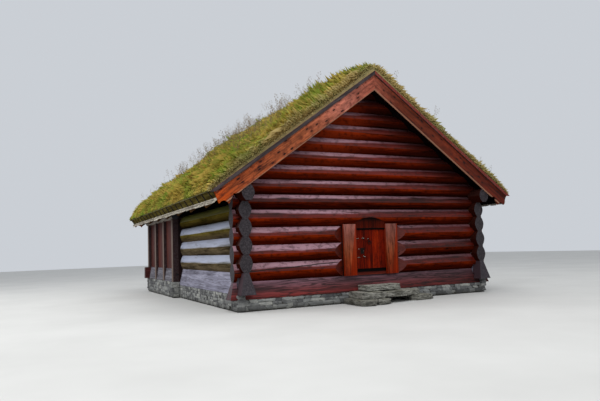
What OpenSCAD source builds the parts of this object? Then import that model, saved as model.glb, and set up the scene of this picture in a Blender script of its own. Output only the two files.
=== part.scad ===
/* [House] */
// Centre line of the house to the middle of a side log wall
half_span = 4010; // [3600:10:4400]
// Middle of the front wall to the posts where the log walls end
log_part_len = 5970; // [5200:10:6600]
// Length of the stave-built part behind the log part
stave_part_len = 4630; // [4200:10:5400]
// Underside of the roof boards over the middle of a side wall, above the underside of the front sill
roof_over_wall = 3120; // [3100:5:3160]
// Slope of the roof in degrees
roof_pitch = 35.7; // [34:0.1:37]

/* [Logs] */
// Width of a wall log at its belly
log_w = 360; // [320:10:400]
// Turn of the surface at the sharp edge along the belly of a log, each way in degrees
belly_turn = 7; // [4:1:14]
// Width of the flat seam where two logs lie on each other
seam_w = 140; // [120:5:170]
// Height of a log in the walls
course_h = 475; // [450:5:490]
// Height of a log in the upper gable
gable_course_h = 415; // [390:5:440]
// Height of the front sill log
sill_h = 450; // [420:10:480]
// Width of a sill log along its underside
sill_w = 420; // [380:10:440]
// Underside of the side sills above the underside of the front sill
side_sill_lift = 130; // [80:10:180]
// Reach of the gable log ends beyond the middle of the side walls
gable_stub_len = 270; // [230:10:400]
// Reach of the side log ends beyond the middle of the gable wall
stub_len = 360; // [300:10:420]
// Slant of the sill ends: how much longer a sill is at its underside
sill_kick = 130; // [0:10:180]
// Length of the hewn taper where a gable log meets the door jamb
bevel_len = 300; // [200:10:360]
// Length of the hewn taper where a side log meets the post at the end of the wall
side_bevel_len = 120; // [80:10:300]

/* [Door] */
// Middle of the doorway from the centre line, negative to the left
door_x = -40; // [-200:10:200]
// Clear width between the jamb planks
door_clear_w = 1020; // [900:10:1100]
// Height of the door leaf
leaf_h = 1120; // [1000:10:1160]
// Thickness of the door leaf
leaf_t = 48; // [36:2:60]
// Overlap of the leaf behind each jamb plank
leaf_lap = 25; // [15:1:35]
// Height of the threshold board under the leaf
threshold_h = 175; // [120:5:200]
// Rise of the arch over the door head
arch_rise = 145; // [100:5:180]
// Width of a jamb plank
jamb_w = 425; // [360:5:480]
// Running gap round the leaf
leaf_gap = 8; // [5:1:12]

/* [Stave part] */
// Reach of the stave part beyond the middle of the side log walls
stave_reach = 425; // [400:5:480]
// Width of a stave post along the wall
post_w = 220; // [180:10:260]
// Depth of a stave post through the wall
post_d = 200; // [180:5:220]
// Thickness of the wall planks
plank_t = 50; // [35:5:70]
// Setback of the planks from the outer face of the posts
plank_setback = 100; // [80:5:110]
// Height of the sills of the stave part
stave_sill_h = 460; // [400:10:500]
// How far the back sill stands out past the side walls
back_sill_out = 150; // [100:10:250]
// Radius of the round plates on the stave walls
plate_r = 125; // [110:5:140]
// Number of bays along the stave wall
side_bays = 3; // [2:1:4]
// Number of bays across the back wall
back_bays = 5; // [4:1:6]

/* [Roof] */
// Width of a rafter
rafter_w = 110; // [90:5:140]
// Depth of a rafter, square to the slope
rafter_d = 120; // [100:5:140]
// Number of rafter pairs
rafter_pairs = 7; // [6:1:8]
// Thickness of the roof boards
sarking_t = 30; // [25:1:40]
// Thickness of the birch bark layers
bark_t = 60; // [45:5:75]
// Reach of the bark beyond the eaves board
bark_reach = 60; // [40:5:90]
// Middle of the front wall to the front ends of the roof boards
verge_reach = 635; // [560:5:720]
// Outer face of the back wall to the back ends of the roof boards
back_verge_reach = 790; // [600:10:900]
// Reach of the eaves beyond the middle of the side log walls
eaves_reach = 1000; // [950:5:1080]
// Thickness of the eaves boards that hold the turf
eaves_board_t = 50; // [40:5:70]
// Distance between the hooks on an eaves board
hook_pitch = 600; // [500:10:900]
// Width of a hook
hook_w = 45; // [30:5:60]
// Thickness of a hook
hook_t = 18; // [12:1:25]
// Top of the capping boards above the underside of the roof boards, square to the slope
capping_top = 309; // [290:1:330]
// Visible height of a capping board, square to the slope
capping_h = 90; // [70:5:110]
// Thickness of a capping board
capping_t = 45; // [35:5:60]
// Reach of the bargeboards below the roof boards, square to the slope
barge_drop = 150; // [110:2:170]
// Thickness of a bargeboard
barge_t = 45; // [35:5:60]
// Width of the chamfer on the lower edge of a bargeboard
barge_chamfer = 30; // [15:5:35]
// Height of the turf above the capping boards, square to the slope
turf_rise = 205; // [150:5:300]

/* [Foundation] */
// Lowest point of the ground below the underside of the front sill
ground_drop = 320; // [250:10:400]
// Thickness of the rubble foundation walls
plinth_w = 500; // [420:10:600]
// Setback of the rubble face from the lower edge of a sill
plinth_setback = 20; // [0:5:40]
// Top of the rubble under the stave part
stave_plinth_top = 250; // [220:10:300]
// Top of the floor boards above the underside of the front sill
floor_z = 450; // [420:5:450]
// Thickness of the floor boards
floor_t = 40; // [30:5:60]
// Width of a floor joist
joist_w = 140; // [100:10:180]
// Number of floor joists under each part of the house
joists = 5; // [4:1:6]
// Length of the top step slab
step_w = 1180; // [1000:10:1300]
// Reach of the lowest step stones in front of the sill
step_reach = 1190; // [1000:10:1250]
// Height of the top step slab
step_top_h = 170; // [150:5:200]
// Height of the middle step slabs
step_mid_h = 180; // [150:5:200]
// Height of the lowest step stones
step_base_h = 160; // [140:5:190]

/* [Hidden] */
$fn = 64;
eps = 1;
fit_gap = 0.5;
seat = 0.2;
pin_gap = 0.3;
big = 20000;

tan_a = tan(roof_pitch);
cos_a = cos(roof_pitch);
sin_a = sin(roof_pitch);
ridge_z = roof_over_wall + half_span * tan_a;
eaves_x = half_span + eaves_reach;
stave_face = half_span + stave_reach;

// Courses: gable logs and side logs are laid half a log apart, so that they lock at the corners
door_courses = 3;
wall_courses = 5;
tall_courses = wall_courses - 1;
gable_courses = ceil((ridge_z - sill_h - tall_courses * course_h) / gable_course_h) + tall_courses;
function gable_seam(j) = j == 0 ? 0
    : sill_h + min(j - 1, tall_courses) * course_h + max(j - 1 - tall_courses, 0) * gable_course_h;
function side_seam(j) = j == 0 ? side_sill_lift : (gable_seam(j) + gable_seam(j + 1)) / 2;
function gable_neck_low(j) = j == 0 ? 0 : (gable_seam(j) + side_seam(j)) / 2;
function gable_neck_high(j) = (side_seam(j) + gable_seam(j + 1)) / 2;
function side_neck_low(j) = gable_neck_high(j);
function side_neck_high(j) = gable_neck_low(j + 1);

// Roof plane: a point u along the slope from the ridge and w square above the underside of the boards
function on_slope(u, w) = [u * cos_a + w * sin_a, ridge_z - u * sin_a + w * cos_a];
function slope_z(x, w) = ridge_z + w / cos_a - x * tan_a;
bark_base = sarking_t + seat;
bark_top = bark_base + bark_t;
board_base = bark_top + seat;
eaves_u = (eaves_x - capping_top * sin_a) / cos_a;
roof_front = -verge_reach;
back_face = log_part_len + stave_part_len;
roof_back = back_face + back_verge_reach;

// Doorway
door_sill_z = sill_h;
leaf_z = door_sill_z + threshold_h + leaf_gap;
leaf_top = leaf_z + leaf_h;
leaf_w = door_clear_w + 2 * leaf_lap;
lintel = door_courses + 1;
lintel_z = gable_seam(lintel);
arch_spring_z = lintel_z + 100;
arch_r = (pow(door_clear_w / 2, 2) + pow(arch_rise, 2)) / (2 * arch_rise);
jamb_front = -log_w / 2 - 20;
jamb_t = 70;
jamb_back = jamb_front + jamb_t;
jamb_top = lintel_z + 50;
post_back = log_w / 2 + 20;
leaf_y = jamb_back + 5;
leaf_back = leaf_y + leaf_t;
reveal_setback = 80;
post_inner = door_clear_w / 2 + reveal_setback;
post_outer = door_clear_w / 2 + jamb_w;
head_y = leaf_y - 25;
pin_r = 8;
eye_wall = 8;
strap_t = 8;
strap_h = 60;
strap_len = 820;
hinge_x = door_x + leaf_w / 2 + pin_r + eye_wall + 9;
hinge_y = leaf_back + strap_t / 2 + 8;
hinge_zs = [leaf_z + 200, leaf_top - 260];
ledge_t = 30;
ledge_h = 110;
ledge_zs = [leaf_z + 60, leaf_top - 170];

// Stave part
stave_front = log_part_len;
plate_z = slope_z(stave_face - 100, -rafter_d) - plate_r / cos_a + 12;
plate_x = stave_face - 100;
plate_seat = plate_z - plate_r + 20;
plate_stub = 300;
sill_top = stave_plinth_top + stave_sill_h;
plank_out = stave_face - plank_setback;
post_in = stave_face - post_d;
bay = (stave_part_len - post_w) / side_bays;
back_bay = (2 * stave_face - post_w) / back_bays;
back_post_y = back_face - post_d;
back_plank_y = back_face - plank_setback - plank_t;
tie_top = plate_seat + 250;

// Foundation
plinth_out = half_span + sill_w / 2 - plinth_setback;
plinth_in = plinth_out - plinth_w;
stave_plinth_out = stave_face - plinth_setback;
back_sill_flare = 40;
joist_x = half_span - sill_w / 2 - 5;

step_back = sill_w / 2 + 0.3;
base_back = sill_w / 2 - plinth_setback + 0.3;
step_mid_z = step_base_h - ground_drop;
step_top_z = step_mid_z + step_mid_h;

// The model's origin is under the middle of its outline, on the ground
model_front = -max(base_back + step_reach, verge_reach + barge_t + capping_t);
model_back = roof_back + barge_t + capping_t;
origin_y = (model_front + model_back) / 2;

module placed() { translate([0, -origin_y, ground_drop]) children(); }
module both_sides() { children(); mirror([1, 0, 0]) children(); }

// Outline of a wall log: on each side two arcs that meet at a sharp belly, between flat seams
module log_outline(h) {
    belly = (log_w - seam_w) / 2;
    r = (pow(h / 2, 2) + pow(belly, 2)) / (2 * (belly * cos(belly_turn) - h / 2 * sin(belly_turn)));
    out = log_w / 2 - r * cos(belly_turn);
    rise = r * sin(belly_turn);
    intersection() {
        translate([out, h / 2 - rise]) circle(r, $fn = 128);
        translate([out, h / 2 + rise]) circle(r, $fn = 128);
        translate([-out, h / 2 - rise]) circle(r, $fn = 128);
        translate([-out, h / 2 + rise]) circle(r, $fn = 128);
        translate([-log_w / 2, 0]) square([log_w, h]);
    }
}

// Outline of a sill log: flared towards its underside
module sill_outline(h) {
    polygon([[-sill_w / 2, 0], [sill_w / 2, 0], [seam_w / 2, h], [-seam_w / 2, h]]);
}

module along_x(x0, x1, z) { translate([x0, 0, z]) rotate([90, 0, 90]) linear_extrude(x1 - x0) children(); }
module along_y(y0, y1, x, z) { translate([x, y1, z]) rotate([90, 0, 0]) linear_extrude(y1 - y0) children(); }

// What a crossing log takes out of a log above and below its neck
module notch_x(x, low, high) {
    translate([x - log_w / 2, -log_w, high]) cube([log_w, 2 * log_w, course_h]);
    translate([x - log_w / 2, -log_w, low - course_h]) cube([log_w, 2 * log_w, course_h]);
}
module notch_y(low, high) {
    translate([half_span - log_w, -log_w / 2, high]) cube([2 * log_w, log_w, course_h]);
    translate([half_span - log_w, -log_w / 2, low - course_h]) cube([2 * log_w, log_w, course_h]);
}

// Hewn taper of a log end: flat facets run from the belly back to the seam at a post
module end_facets(length) {
    from = seam_w / 2 - 4;
    far = from + 1.5 * (log_w / 2 - from);
    for (s = [-1, 1]) translate([0, 0, -big / 2]) linear_extrude(big)
        polygon([[-eps, s * from], [0, s * from], [1.5 * length, s * far], [1.5 * length, s * log_w],
            [-eps, s * log_w]]);
}

// Everything below the roof boards
module below_roof() {
    along_y(-big / 2, big / 2, 0, 0)
        polygon([[0, slope_z(0, -seat)], [eaves_x, slope_z(eaves_x, -seat)], [eaves_x, -big], [-eaves_x, -big],
            [-eaves_x, slope_z(eaves_x, -seat)]]);
}

module gable_log(j) {
    reach = half_span + (j <= wall_courses ? gable_stub_len : log_w / 2);
    high = j <= wall_courses ? gable_neck_high(j) : gable_seam(j + 2);
    intersection() {
        difference() {
            along_x(-reach, reach, gable_seam(j)) log_outline(gable_seam(j + 1) - gable_seam(j));
            if (j <= wall_courses + 1) for (s = [-1, 1]) notch_x(s * half_span, gable_neck_low(j), high);
            if (j <= door_courses) translate([door_x - post_outer, -log_w, -eps])
                cube([2 * post_outer, 2 * log_w, lintel_z + 2 * eps]);
            if (j <= door_courses) for (s = [0, 1]) translate([door_x, 0, 0]) mirror([s, 0, 0])
                translate([post_outer, 0, 0]) end_facets(bevel_len);
            if (j == lintel) lintel_cuts();
        }
        below_roof();
    }
}

// Door head: the arch and the seats of the jamb planks and posts in the log above the door
module lintel_cuts() {
    along_y(-log_w, log_w, door_x, 0) intersection() {
        translate([0, arch_spring_z + arch_rise - arch_r]) circle(arch_r, $fn = 128);
        translate([-door_clear_w / 2, lintel_z - eps]) square([door_clear_w, 400]);
    }
    for (s = [0, 1]) translate([door_x, 0, 0]) mirror([s, 0, 0])
        translate([door_clear_w / 2 - eps, -log_w, lintel_z - eps]) cube([jamb_w + eps, 2 * log_w, 50 + eps]);
}

module front_logs(first) { for (j = [first : 2 : gable_courses]) gable_log(j); }
module front_logs_odd() { color("firebrick") front_logs(1); }
module front_logs_even() { color("brown") front_logs(2); }
module front_sill() {
    reach = half_span + gable_stub_len;
    far = reach + sill_kick * (sill_h + 20) / sill_h;
    near = reach - sill_kick * 20 / sill_h;
    color("rosybrown") difference() {
        intersection() {
            along_x(-far, far, 0) sill_outline(sill_h);
            along_y(-sill_w, sill_w, 0, 0)
                polygon([[-far, -20], [far, -20], [near, sill_h + 20], [-near, sill_h + 20]]);
        }
        for (s = [-1, 1]) notch_x(s * half_span, -eps, gable_neck_high(0));
    }
}

module side_log(j) {
    both_sides() difference() {
        along_y(-stub_len, log_part_len, half_span, side_seam(j)) log_outline(side_seam(j + 1) - side_seam(j));
        notch_y(side_neck_low(j), side_neck_high(j));
        translate([half_span, log_part_len, 0]) rotate([0, 0, -90]) end_facets(side_bevel_len);
    }
}
module side_logs_odd() { color("slategray") for (j = [1, 3]) side_log(j); }
module side_logs_even() { color("lightslategray") for (j = [2, 4]) side_log(j); }
module side_sills() {
    h = side_seam(1) - side_sill_lift;
    far = stub_len + sill_kick * (h + 20) / h;
    near = stub_len - sill_kick * 20 / h;
    color("thistle") both_sides() difference() {
        intersection() {
            along_y(-far, log_part_len, half_span, side_sill_lift) sill_outline(h);
            along_x(half_span - sill_w, half_span + sill_w, side_sill_lift)
                polygon([[-far, -20], [log_part_len + 20, -20], [log_part_len + 20, h + 20], [-near, h + 20]]);
        }
        notch_y(side_neck_low(0), side_neck_high(0));
    }
}
module wall_plates() {
    color("dimgray") both_sides() difference() {
        along_y(roof_front, log_part_len + post_w, half_span, side_seam(wall_courses))
            log_outline(side_seam(wall_courses + 1) - side_seam(wall_courses));
        notch_y(side_neck_low(wall_courses), side_neck_high(wall_courses));
        rafter_row();
    }
}

// Posts that take the ends of the side logs, beside the corner posts of the stave part
module wall_end_posts() {
    top = side_seam(wall_courses);
    color("saddlebrown") both_sides() difference() {
        translate([half_span - log_w / 2, log_part_len, stave_plinth_top])
            cube([post_in - half_span + log_w / 2, post_w, top - stave_plinth_top]);
        translate([plate_x - plate_r - eps, log_part_len - eps, plate_seat - seat])
            cube([log_w, post_w + 2 * eps, top - plate_seat + log_w]);
    }
}

// Rubble walls under the sills
module plinth_front() {
    color("gray") translate([-plinth_in, -sill_w / 2 + plinth_setback, -ground_drop])
        cube([2 * plinth_in, plinth_w, ground_drop]);
}
module plinth_sides() {
    face = -sill_w / 2 + plinth_setback;
    color("gray") both_sides() {
        translate([plinth_in, 0, 0]) rotate([90, 0, 90]) linear_extrude(plinth_w)
            polygon([[face, -ground_drop], [log_part_len, -ground_drop], [log_part_len, side_sill_lift],
                [sill_w / 2 + 5, side_sill_lift], [sill_w / 2 + 5, 0], [face, 0]]);
        translate([plinth_in, log_part_len, -ground_drop]) cube([stave_plinth_out - plinth_in,
            stave_part_len + plinth_setback, ground_drop + stave_plinth_top]);
    }
}
module plinth_back() {
    color("gray") translate([-plinth_in, back_face + plinth_setback - plinth_w, -ground_drop])
        cube([2 * plinth_in, plinth_w, ground_drop + stave_plinth_top]);
}

// Slabs of the doorstep, laid dry in three layers. Outlines run from the sill outwards
module slab(outline, z, h, back = step_back) {
    translate([0, 0, z]) linear_extrude(h)
        polygon([for (p = outline) [p[0] * step_w / 1180, -back - p[1] * step_reach / 1190]]);
}
module step_top_slab() {
    color("darkgray") slab([[-620, 430], [-590, 535], [-260, 560], [230, 545], [520, 520], [560, 430],
        [530, 0], [-590, 0]], step_top_z, step_top_h);
}
module step_middle_slabs() {
    color("gray") {
        slab([[-940, 700], [-890, 815], [-510, 850], [-170, 815], [-150, 0], [-900, 0]],
            step_mid_z, step_mid_h);
        slab([[-135, 840], [300, 870], [560, 780], [540, 0], [-135, 0]], step_mid_z, step_mid_h - 12);
        slab([[575, 720], [900, 680], [1200, 560], [1220, 200], [1180, 0], [560, 0]],
            step_mid_z, step_mid_h - 25);
    }
}
module step_base_stones() {
    color("dimgray") {
        slab([[-1130, 1000], [-1070, 1130], [-780, 1190], [-640, 1100], [-650, 500], [-800, 0],
            [-1090, 0]], -ground_drop, step_base_h, base_back);
        slab([[-600, 1070], [-420, 1090], [-110, 1000], [-100, 0], [-560, 0]],
            -ground_drop, step_base_h, base_back);
        slab([[810, 620], [960, 760], [1440, 740], [1640, 600], [1620, 260], [1400, 0], [840, 0]],
            -ground_drop, step_base_h, base_back);
    }
}

module floor_joists() {
    z = floor_z - floor_t;
    color("peru") {
        for (i = [0 : joists - 1]) let (y = 600 + i * (log_part_len - 1200) / (joists - 1))
            translate([-joist_x, y - joist_w / 2, side_sill_lift])
                cube([2 * joist_x, joist_w, z - side_sill_lift]);
        for (i = [0 : joists - 1]) let (y = log_part_len + 500 + i * (stave_part_len - 1200) / (joists - 1))
            translate([-joist_x - 200, y - joist_w / 2, stave_plinth_top])
                cube([2 * joist_x + 400, joist_w, z - stave_plinth_top]);
    }
}
module floor_boards() {
    edge = half_span - log_w / 2 - 5;
    wide = post_in - 50;
    front = post_back + 5;
    back = back_post_y - 25;
    color("burlywood") translate([0, 0, floor_z - floor_t]) linear_extrude(floor_t)
        polygon([[-edge, front], [edge, front], [edge, log_part_len + post_w + 5],
            [wide, log_part_len + post_w + 5], [wide, back], [-wide, back],
            [-wide, log_part_len + post_w + 5], [-edge, log_part_len + post_w + 5]]);
}

// Jamb plank: one flat facet hews off its right corner, narrow at the top and half the plank at the foot
module jamb_plank() {
    h = jamb_top - door_sill_z;
    foot = 0.42 * jamb_w;
    turn = atan(0.62 * jamb_t / (jamb_w - foot));
    lean = atan((jamb_w - 30 - foot) / h * sin(turn));
    difference() {
        cube([jamb_w, jamb_t, h]);
        translate([foot, 0, 0]) rotate([0, 0, turn]) rotate([lean, 0, 0])
            translate([-2 * h, -h, -2 * h]) cube([4 * h, h, 4 * h]);
    }
}
module door_jamb_planks() {
    color("chocolate") {
        translate([door_x + door_clear_w / 2, jamb_front, door_sill_z]) jamb_plank();
        translate([door_x - door_clear_w / 2 - jamb_w, jamb_front, door_sill_z]) jamb_plank();
    }
}
module door_posts() {
    color("sienna") for (s = [0, 1]) translate([door_x, 0, 0]) mirror([s, 0, 0])
        translate([post_inner, jamb_back, door_sill_z])
            cube([post_outer - post_inner, post_back - jamb_back, jamb_top - door_sill_z]);
}
module door_head_panel() {
    color("orangered") along_y(head_y, head_y + 50, door_x, 0) intersection() {
        translate([0, arch_spring_z + arch_rise - arch_r]) circle(arch_r - fit_gap, $fn = 128);
        translate([-door_clear_w / 2, leaf_top + leaf_gap]) square([door_clear_w, 600]);
    }
}
module door_threshold() {
    color("saddlebrown") translate([door_x - post_inner, leaf_y + 10, door_sill_z])
        cube([2 * post_inner, leaf_t + 40, threshold_h]);
}

// Hinge: an iron pintle driven into the post, and a long strap with an eye that drops over it
module door_pintles() {
    color("black") for (z = hinge_zs) {
        translate([hinge_x, hinge_y, z - 26]) cylinder(r = pin_r, h = strap_h + 36);
        translate([hinge_x, hinge_y - pin_r, z - 26])
            cube([door_x + post_inner - hinge_x, 2 * pin_r, 26 - fit_gap]);
    }
}
module door_straps() {
    eye_r = pin_r + pin_gap + eye_wall;
    color("black") for (z = hinge_zs) difference() {
        union() {
            translate([hinge_x - strap_len, leaf_back, z]) cube([strap_len, strap_t, strap_h]);
            translate([hinge_x, hinge_y, z]) cylinder(r = eye_r, h = strap_h);
        }
        translate([hinge_x, hinge_y, z - eps]) cylinder(r = pin_r + pin_gap, h = strap_h + 2 * eps);
    }
}
module door_leaf() {
    color("orangered") translate([door_x - leaf_w / 2, leaf_y, leaf_z]) cube([leaf_w, leaf_t, leaf_h]);
}
module door_ledges() {
    color("chocolate") for (z = ledge_zs) translate([door_x - leaf_w / 2 + 120, leaf_back, z])
        cube([leaf_w - 240, ledge_t, ledge_h]);
}

// Iron on the outside of the leaf: a lock plate and a pull ring on its rose
lock_x = -300;
lock_z = 510;
ring_x = -40;
ring_z = 790;
ring_r = 46;
module door_ironwork() {
    color("dimgray") {
        translate([door_x + lock_x - 55, leaf_y - 6, leaf_z + lock_z - 85]) cube([110, 6, 170]);
        translate([door_x + ring_x, leaf_y, leaf_z + ring_z]) rotate([90, 0, 0]) {
            cylinder(r = 28, h = 6);
            cylinder(r = 10, h = 26);
            translate([0, -ring_r, 19]) rotate_extrude() translate([ring_r, 0]) circle(7);
        }
    }
}

// Stave part: posts, planks let in between them, sills and round plates
function post_y(i) = stave_front + i * bay;
module stave_posts() {
    color("indianred") {
        both_sides() {
            for (i = [0 : side_bays - 1]) translate([post_in, post_y(i), stave_plinth_top])
                cube([post_d, post_w, plate_seat - stave_plinth_top]);
            translate([post_in, back_face - post_w, sill_top]) cube([post_d, post_w, plate_seat - sill_top]);
        }
        for (i = [1 : back_bays - 1]) translate([-stave_face + i * back_bay, back_post_y, sill_top])
            cube([post_w, post_d, plate_seat - sill_top]);
    }
}
module stave_sills() {
    color("lightgray") both_sides() for (i = [0 : side_bays - 1])
        let (end = i == side_bays - 1 ? back_post_y - 20 : post_y(i + 1))
        along_y(post_y(i) + post_w, end, post_in, stave_plinth_top)
            polygon([[0, 0], [post_d - 15, 0], [post_d - plank_setback + 15, stave_sill_h], [0, stave_sill_h]]);
}
module back_sill() {
    reach = stave_face + back_sill_out;
    color("rosybrown") along_x(-reach, reach, stave_plinth_top)
        polygon([[back_post_y - 20, 0], [back_face + back_sill_flare, 0], [back_face, stave_sill_h],
            [back_post_y - 20, stave_sill_h]]);
}
module stave_planks() {
    color("brown") both_sides() for (i = [0 : side_bays - 1])
        let (end = i == side_bays - 1 ? back_face - post_w : post_y(i + 1))
        translate([plank_out - plank_t, post_y(i) + post_w, sill_top])
            cube([plank_t, end - post_y(i) - post_w, plate_seat - sill_top]);
}
module stave_plates() {
    color("silver") both_sides() difference() {
        translate([plate_x, back_face + plate_stub, plate_z]) rotate([90, 0, 0])
            cylinder(r = plate_r, h = stave_part_len + plate_stub);
        translate([plate_x - plate_r - eps, stave_front - eps, plate_seat - plate_r])
            cube([2 * plate_r + 2 * eps, stave_part_len + plate_stub + 2 * eps, plate_r]);
        rafter_row();
    }
}
module back_tie_beam() {
    color("indianred") translate([-plate_x + plate_r + 2, back_post_y, plate_seat])
        cube([2 * (plate_x - plate_r - 2), post_d, tie_top - plate_seat]);
}
module back_planks() {
    x = plate_x - plate_r - 2;
    color("brown") {
        for (i = [0 : back_bays - 1])
            let (x0 = -stave_face + i * back_bay + (i == 0 ? post_d : post_w),
                x1 = i == back_bays - 1 ? post_in : -stave_face + (i + 1) * back_bay)
            translate([x0, back_plank_y, sill_top]) cube([x1 - x0, plank_t, plate_seat - sill_top]);
        along_y(back_plank_y, back_plank_y + plank_t, 0, 0)
            polygon([[-x, tie_top], [x, tie_top], [x, slope_z(x, -seat)], [0, slope_z(0, -seat)],
                [-x, slope_z(x, -seat)]]);
    }
}

// Roof layers: each is drawn on the right slope, from the ridge to the eaves
module right_layer(w0, w1, u, y0, y1) {
    along_y(y0, y1, 0, 0)
        polygon([[0, slope_z(0, w0)], [0, slope_z(0, w1)], on_slope(u, w1), on_slope(u, w0)]);
}
module left() { mirror([1, 0, 0]) children(); }
rafter_first = 700;
rafter_last = back_plank_y - 260;
module rafter_row() {
    for (i = [0 : rafter_pairs - 1])
        let (y = rafter_first + i * (rafter_last - rafter_first) / (rafter_pairs - 1))
        right_layer(-rafter_d, -seat, eaves_u - 40, y - rafter_w / 2, y + rafter_w / 2);
}
module rafters_right() { color("tan") rafter_row(); }
module rafters_left() { color("tan") left() rafter_row(); }
module boards() { right_layer(0, sarking_t, eaves_u - 10, roof_front, roof_back); }
module roof_boards_right() { color("saddlebrown") boards(); }
module roof_boards_left() { color("saddlebrown") left() boards(); }
module bark() { right_layer(bark_base, bark_top, eaves_u + bark_reach, roof_front, roof_back); }
module birch_bark_right() { color("ivory") bark(); }
module birch_bark_left() { color("ivory") left() bark(); }
module eaves_boards() {
    color("darkolivegreen") both_sides() along_y(roof_front, roof_back, 0, 0)
        polygon([on_slope(eaves_u - eaves_board_t, board_base), on_slope(eaves_u - eaves_board_t, capping_top),
            on_slope(eaves_u, capping_top), on_slope(eaves_u, board_base)]);
}
module turf_hooks() {
    count = floor((roof_back - roof_front - 400) / hook_pitch);
    color("darkslategray") both_sides() for (i = [0 : count])
        let (y = roof_front + 200 + i * hook_pitch)
        along_y(y, y + hook_w, 0, 0)
            polygon([on_slope(eaves_u, board_base), on_slope(eaves_u, capping_top),
                on_slope(eaves_u + hook_t, capping_top - 15), on_slope(eaves_u + hook_t, board_base)]);
}

// Turf: a grown mat between the eaves boards, rounded at the ridge and at the eaves
turf_u = eaves_u - eaves_board_t - seat;
module turf() {
    top = capping_top + turf_rise;
    along_y(roof_front, roof_back, 0, 0)
        polygon([[0, slope_z(0, board_base)], [0, slope_z(0, top) + 0.25 * turf_rise],
            [0.8 * turf_rise, slope_z(0, top) + 0.05 * turf_rise],
            on_slope(0.12 * turf_u, top + 0.2 * turf_rise),
            on_slope(0.3 * turf_u, top + 10), on_slope(0.55 * turf_u, top), on_slope(0.8 * turf_u, top - 10),
            on_slope(0.92 * turf_u, top - 0.2 * turf_rise), on_slope(0.975 * turf_u, top - 0.45 * turf_rise),
            on_slope(turf_u, capping_top + 0.25 * turf_rise), on_slope(turf_u, board_base)]);
}
module turf_right() { color("yellowgreen") turf(); }
module turf_left() { color("yellowgreen") left() turf(); }

// Bargeboard: a wide board whose foot ends in a carved heel
barge_end = eaves_x - 60;
heel_x = barge_end - 670;
heel_z = slope_z(heel_x, -barge_drop);
module barge_outline() {
    toe_z = heel_z - 275;
    difference() {
        polygon([[0, slope_z(0, -barge_drop)], [0, slope_z(0, capping_top)],
            [barge_end, slope_z(barge_end, capping_top)], [barge_end - 140, toe_z], [heel_x + 260, toe_z],
            [heel_x + 215, heel_z - 185], [heel_x + 150, heel_z - 50], [heel_x, heel_z]]);
        translate([heel_x + 396, toe_z - 52]) circle(126);
        translate([heel_x + 118, heel_z - 62]) circle(42);
    }
}
module bargeboard() {
    difference() {
        along_y(-barge_t, 0, 0, 0) barge_outline();
        translate([0, -barge_t, slope_z(0, -barge_drop)]) rotate([0, roof_pitch, 0]) rotate([45, 0, 0])
            cube([2 * heel_x / cos_a - 260, barge_chamfer, barge_chamfer], center = true);
    }
}
module capping_board() {
    cut = slope_z(eaves_x + 41, capping_top);
    along_y(-capping_t, 0, 0, 0)
        polygon([[0, slope_z(0, capping_top - capping_h)], [0, slope_z(0, capping_top)], [eaves_x + 41, cut],
            [eaves_x + 41 - capping_h / cos_a / tan_a, cut]]);
}
module front_and_back(front, back) {
    translate([0, front, 0]) children();
    translate([0, back, 0]) mirror([0, 1, 0]) children();
}
module bargeboards_right() { color("orangered") front_and_back(roof_front, roof_back) bargeboard(); }
module bargeboards_left() { color("orangered") left() front_and_back(roof_front, roof_back) bargeboard(); }
module capping_boards_right() {
    color("rosybrown") front_and_back(roof_front - barge_t, roof_back + barge_t) capping_board();
}
module capping_boards_left() {
    color("rosybrown") left() front_and_back(roof_front - barge_t, roof_back + barge_t) capping_board();
}

placed() plinth_front();
placed() plinth_sides();
placed() plinth_back();
placed() step_top_slab();
placed() step_middle_slabs();
placed() step_base_stones();
placed() floor_joists();
placed() floor_boards();
placed() front_sill();
placed() front_logs_odd();
placed() front_logs_even();
placed() side_sills();
placed() side_logs_odd();
placed() side_logs_even();
placed() wall_plates();
placed() wall_end_posts();
placed() door_jamb_planks();
placed() door_posts();
placed() door_head_panel();
placed() door_threshold();
placed() door_pintles();
placed() door_leaf();
placed() door_ledges();
placed() door_straps();
placed() door_ironwork();
placed() stave_posts();
placed() stave_sills();
placed() back_sill();
placed() stave_planks();
placed() stave_plates();
placed() back_tie_beam();
placed() back_planks();
placed() rafters_left();
placed() rafters_right();
placed() roof_boards_left();
placed() roof_boards_right();
placed() birch_bark_left();
placed() birch_bark_right();
placed() eaves_boards();
placed() turf_hooks();
placed() turf_left();
placed() turf_right();
placed() bargeboards_left();
placed() bargeboards_right();
placed() capping_boards_left();
placed() capping_boards_right();
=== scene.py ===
"""Looks of a log and stave house with a turf roof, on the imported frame. Metres, +Z up, door towards -Y."""

import logging
import math
from collections.abc import Callable
from dataclasses import dataclass, replace
from enum import Enum
from typing import ClassVar

import bpy
import numpy as np
from bpy.types import ID, Material, NodeSocket, NodeTree, Object
from mathutils import Matrix, Vector

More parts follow.
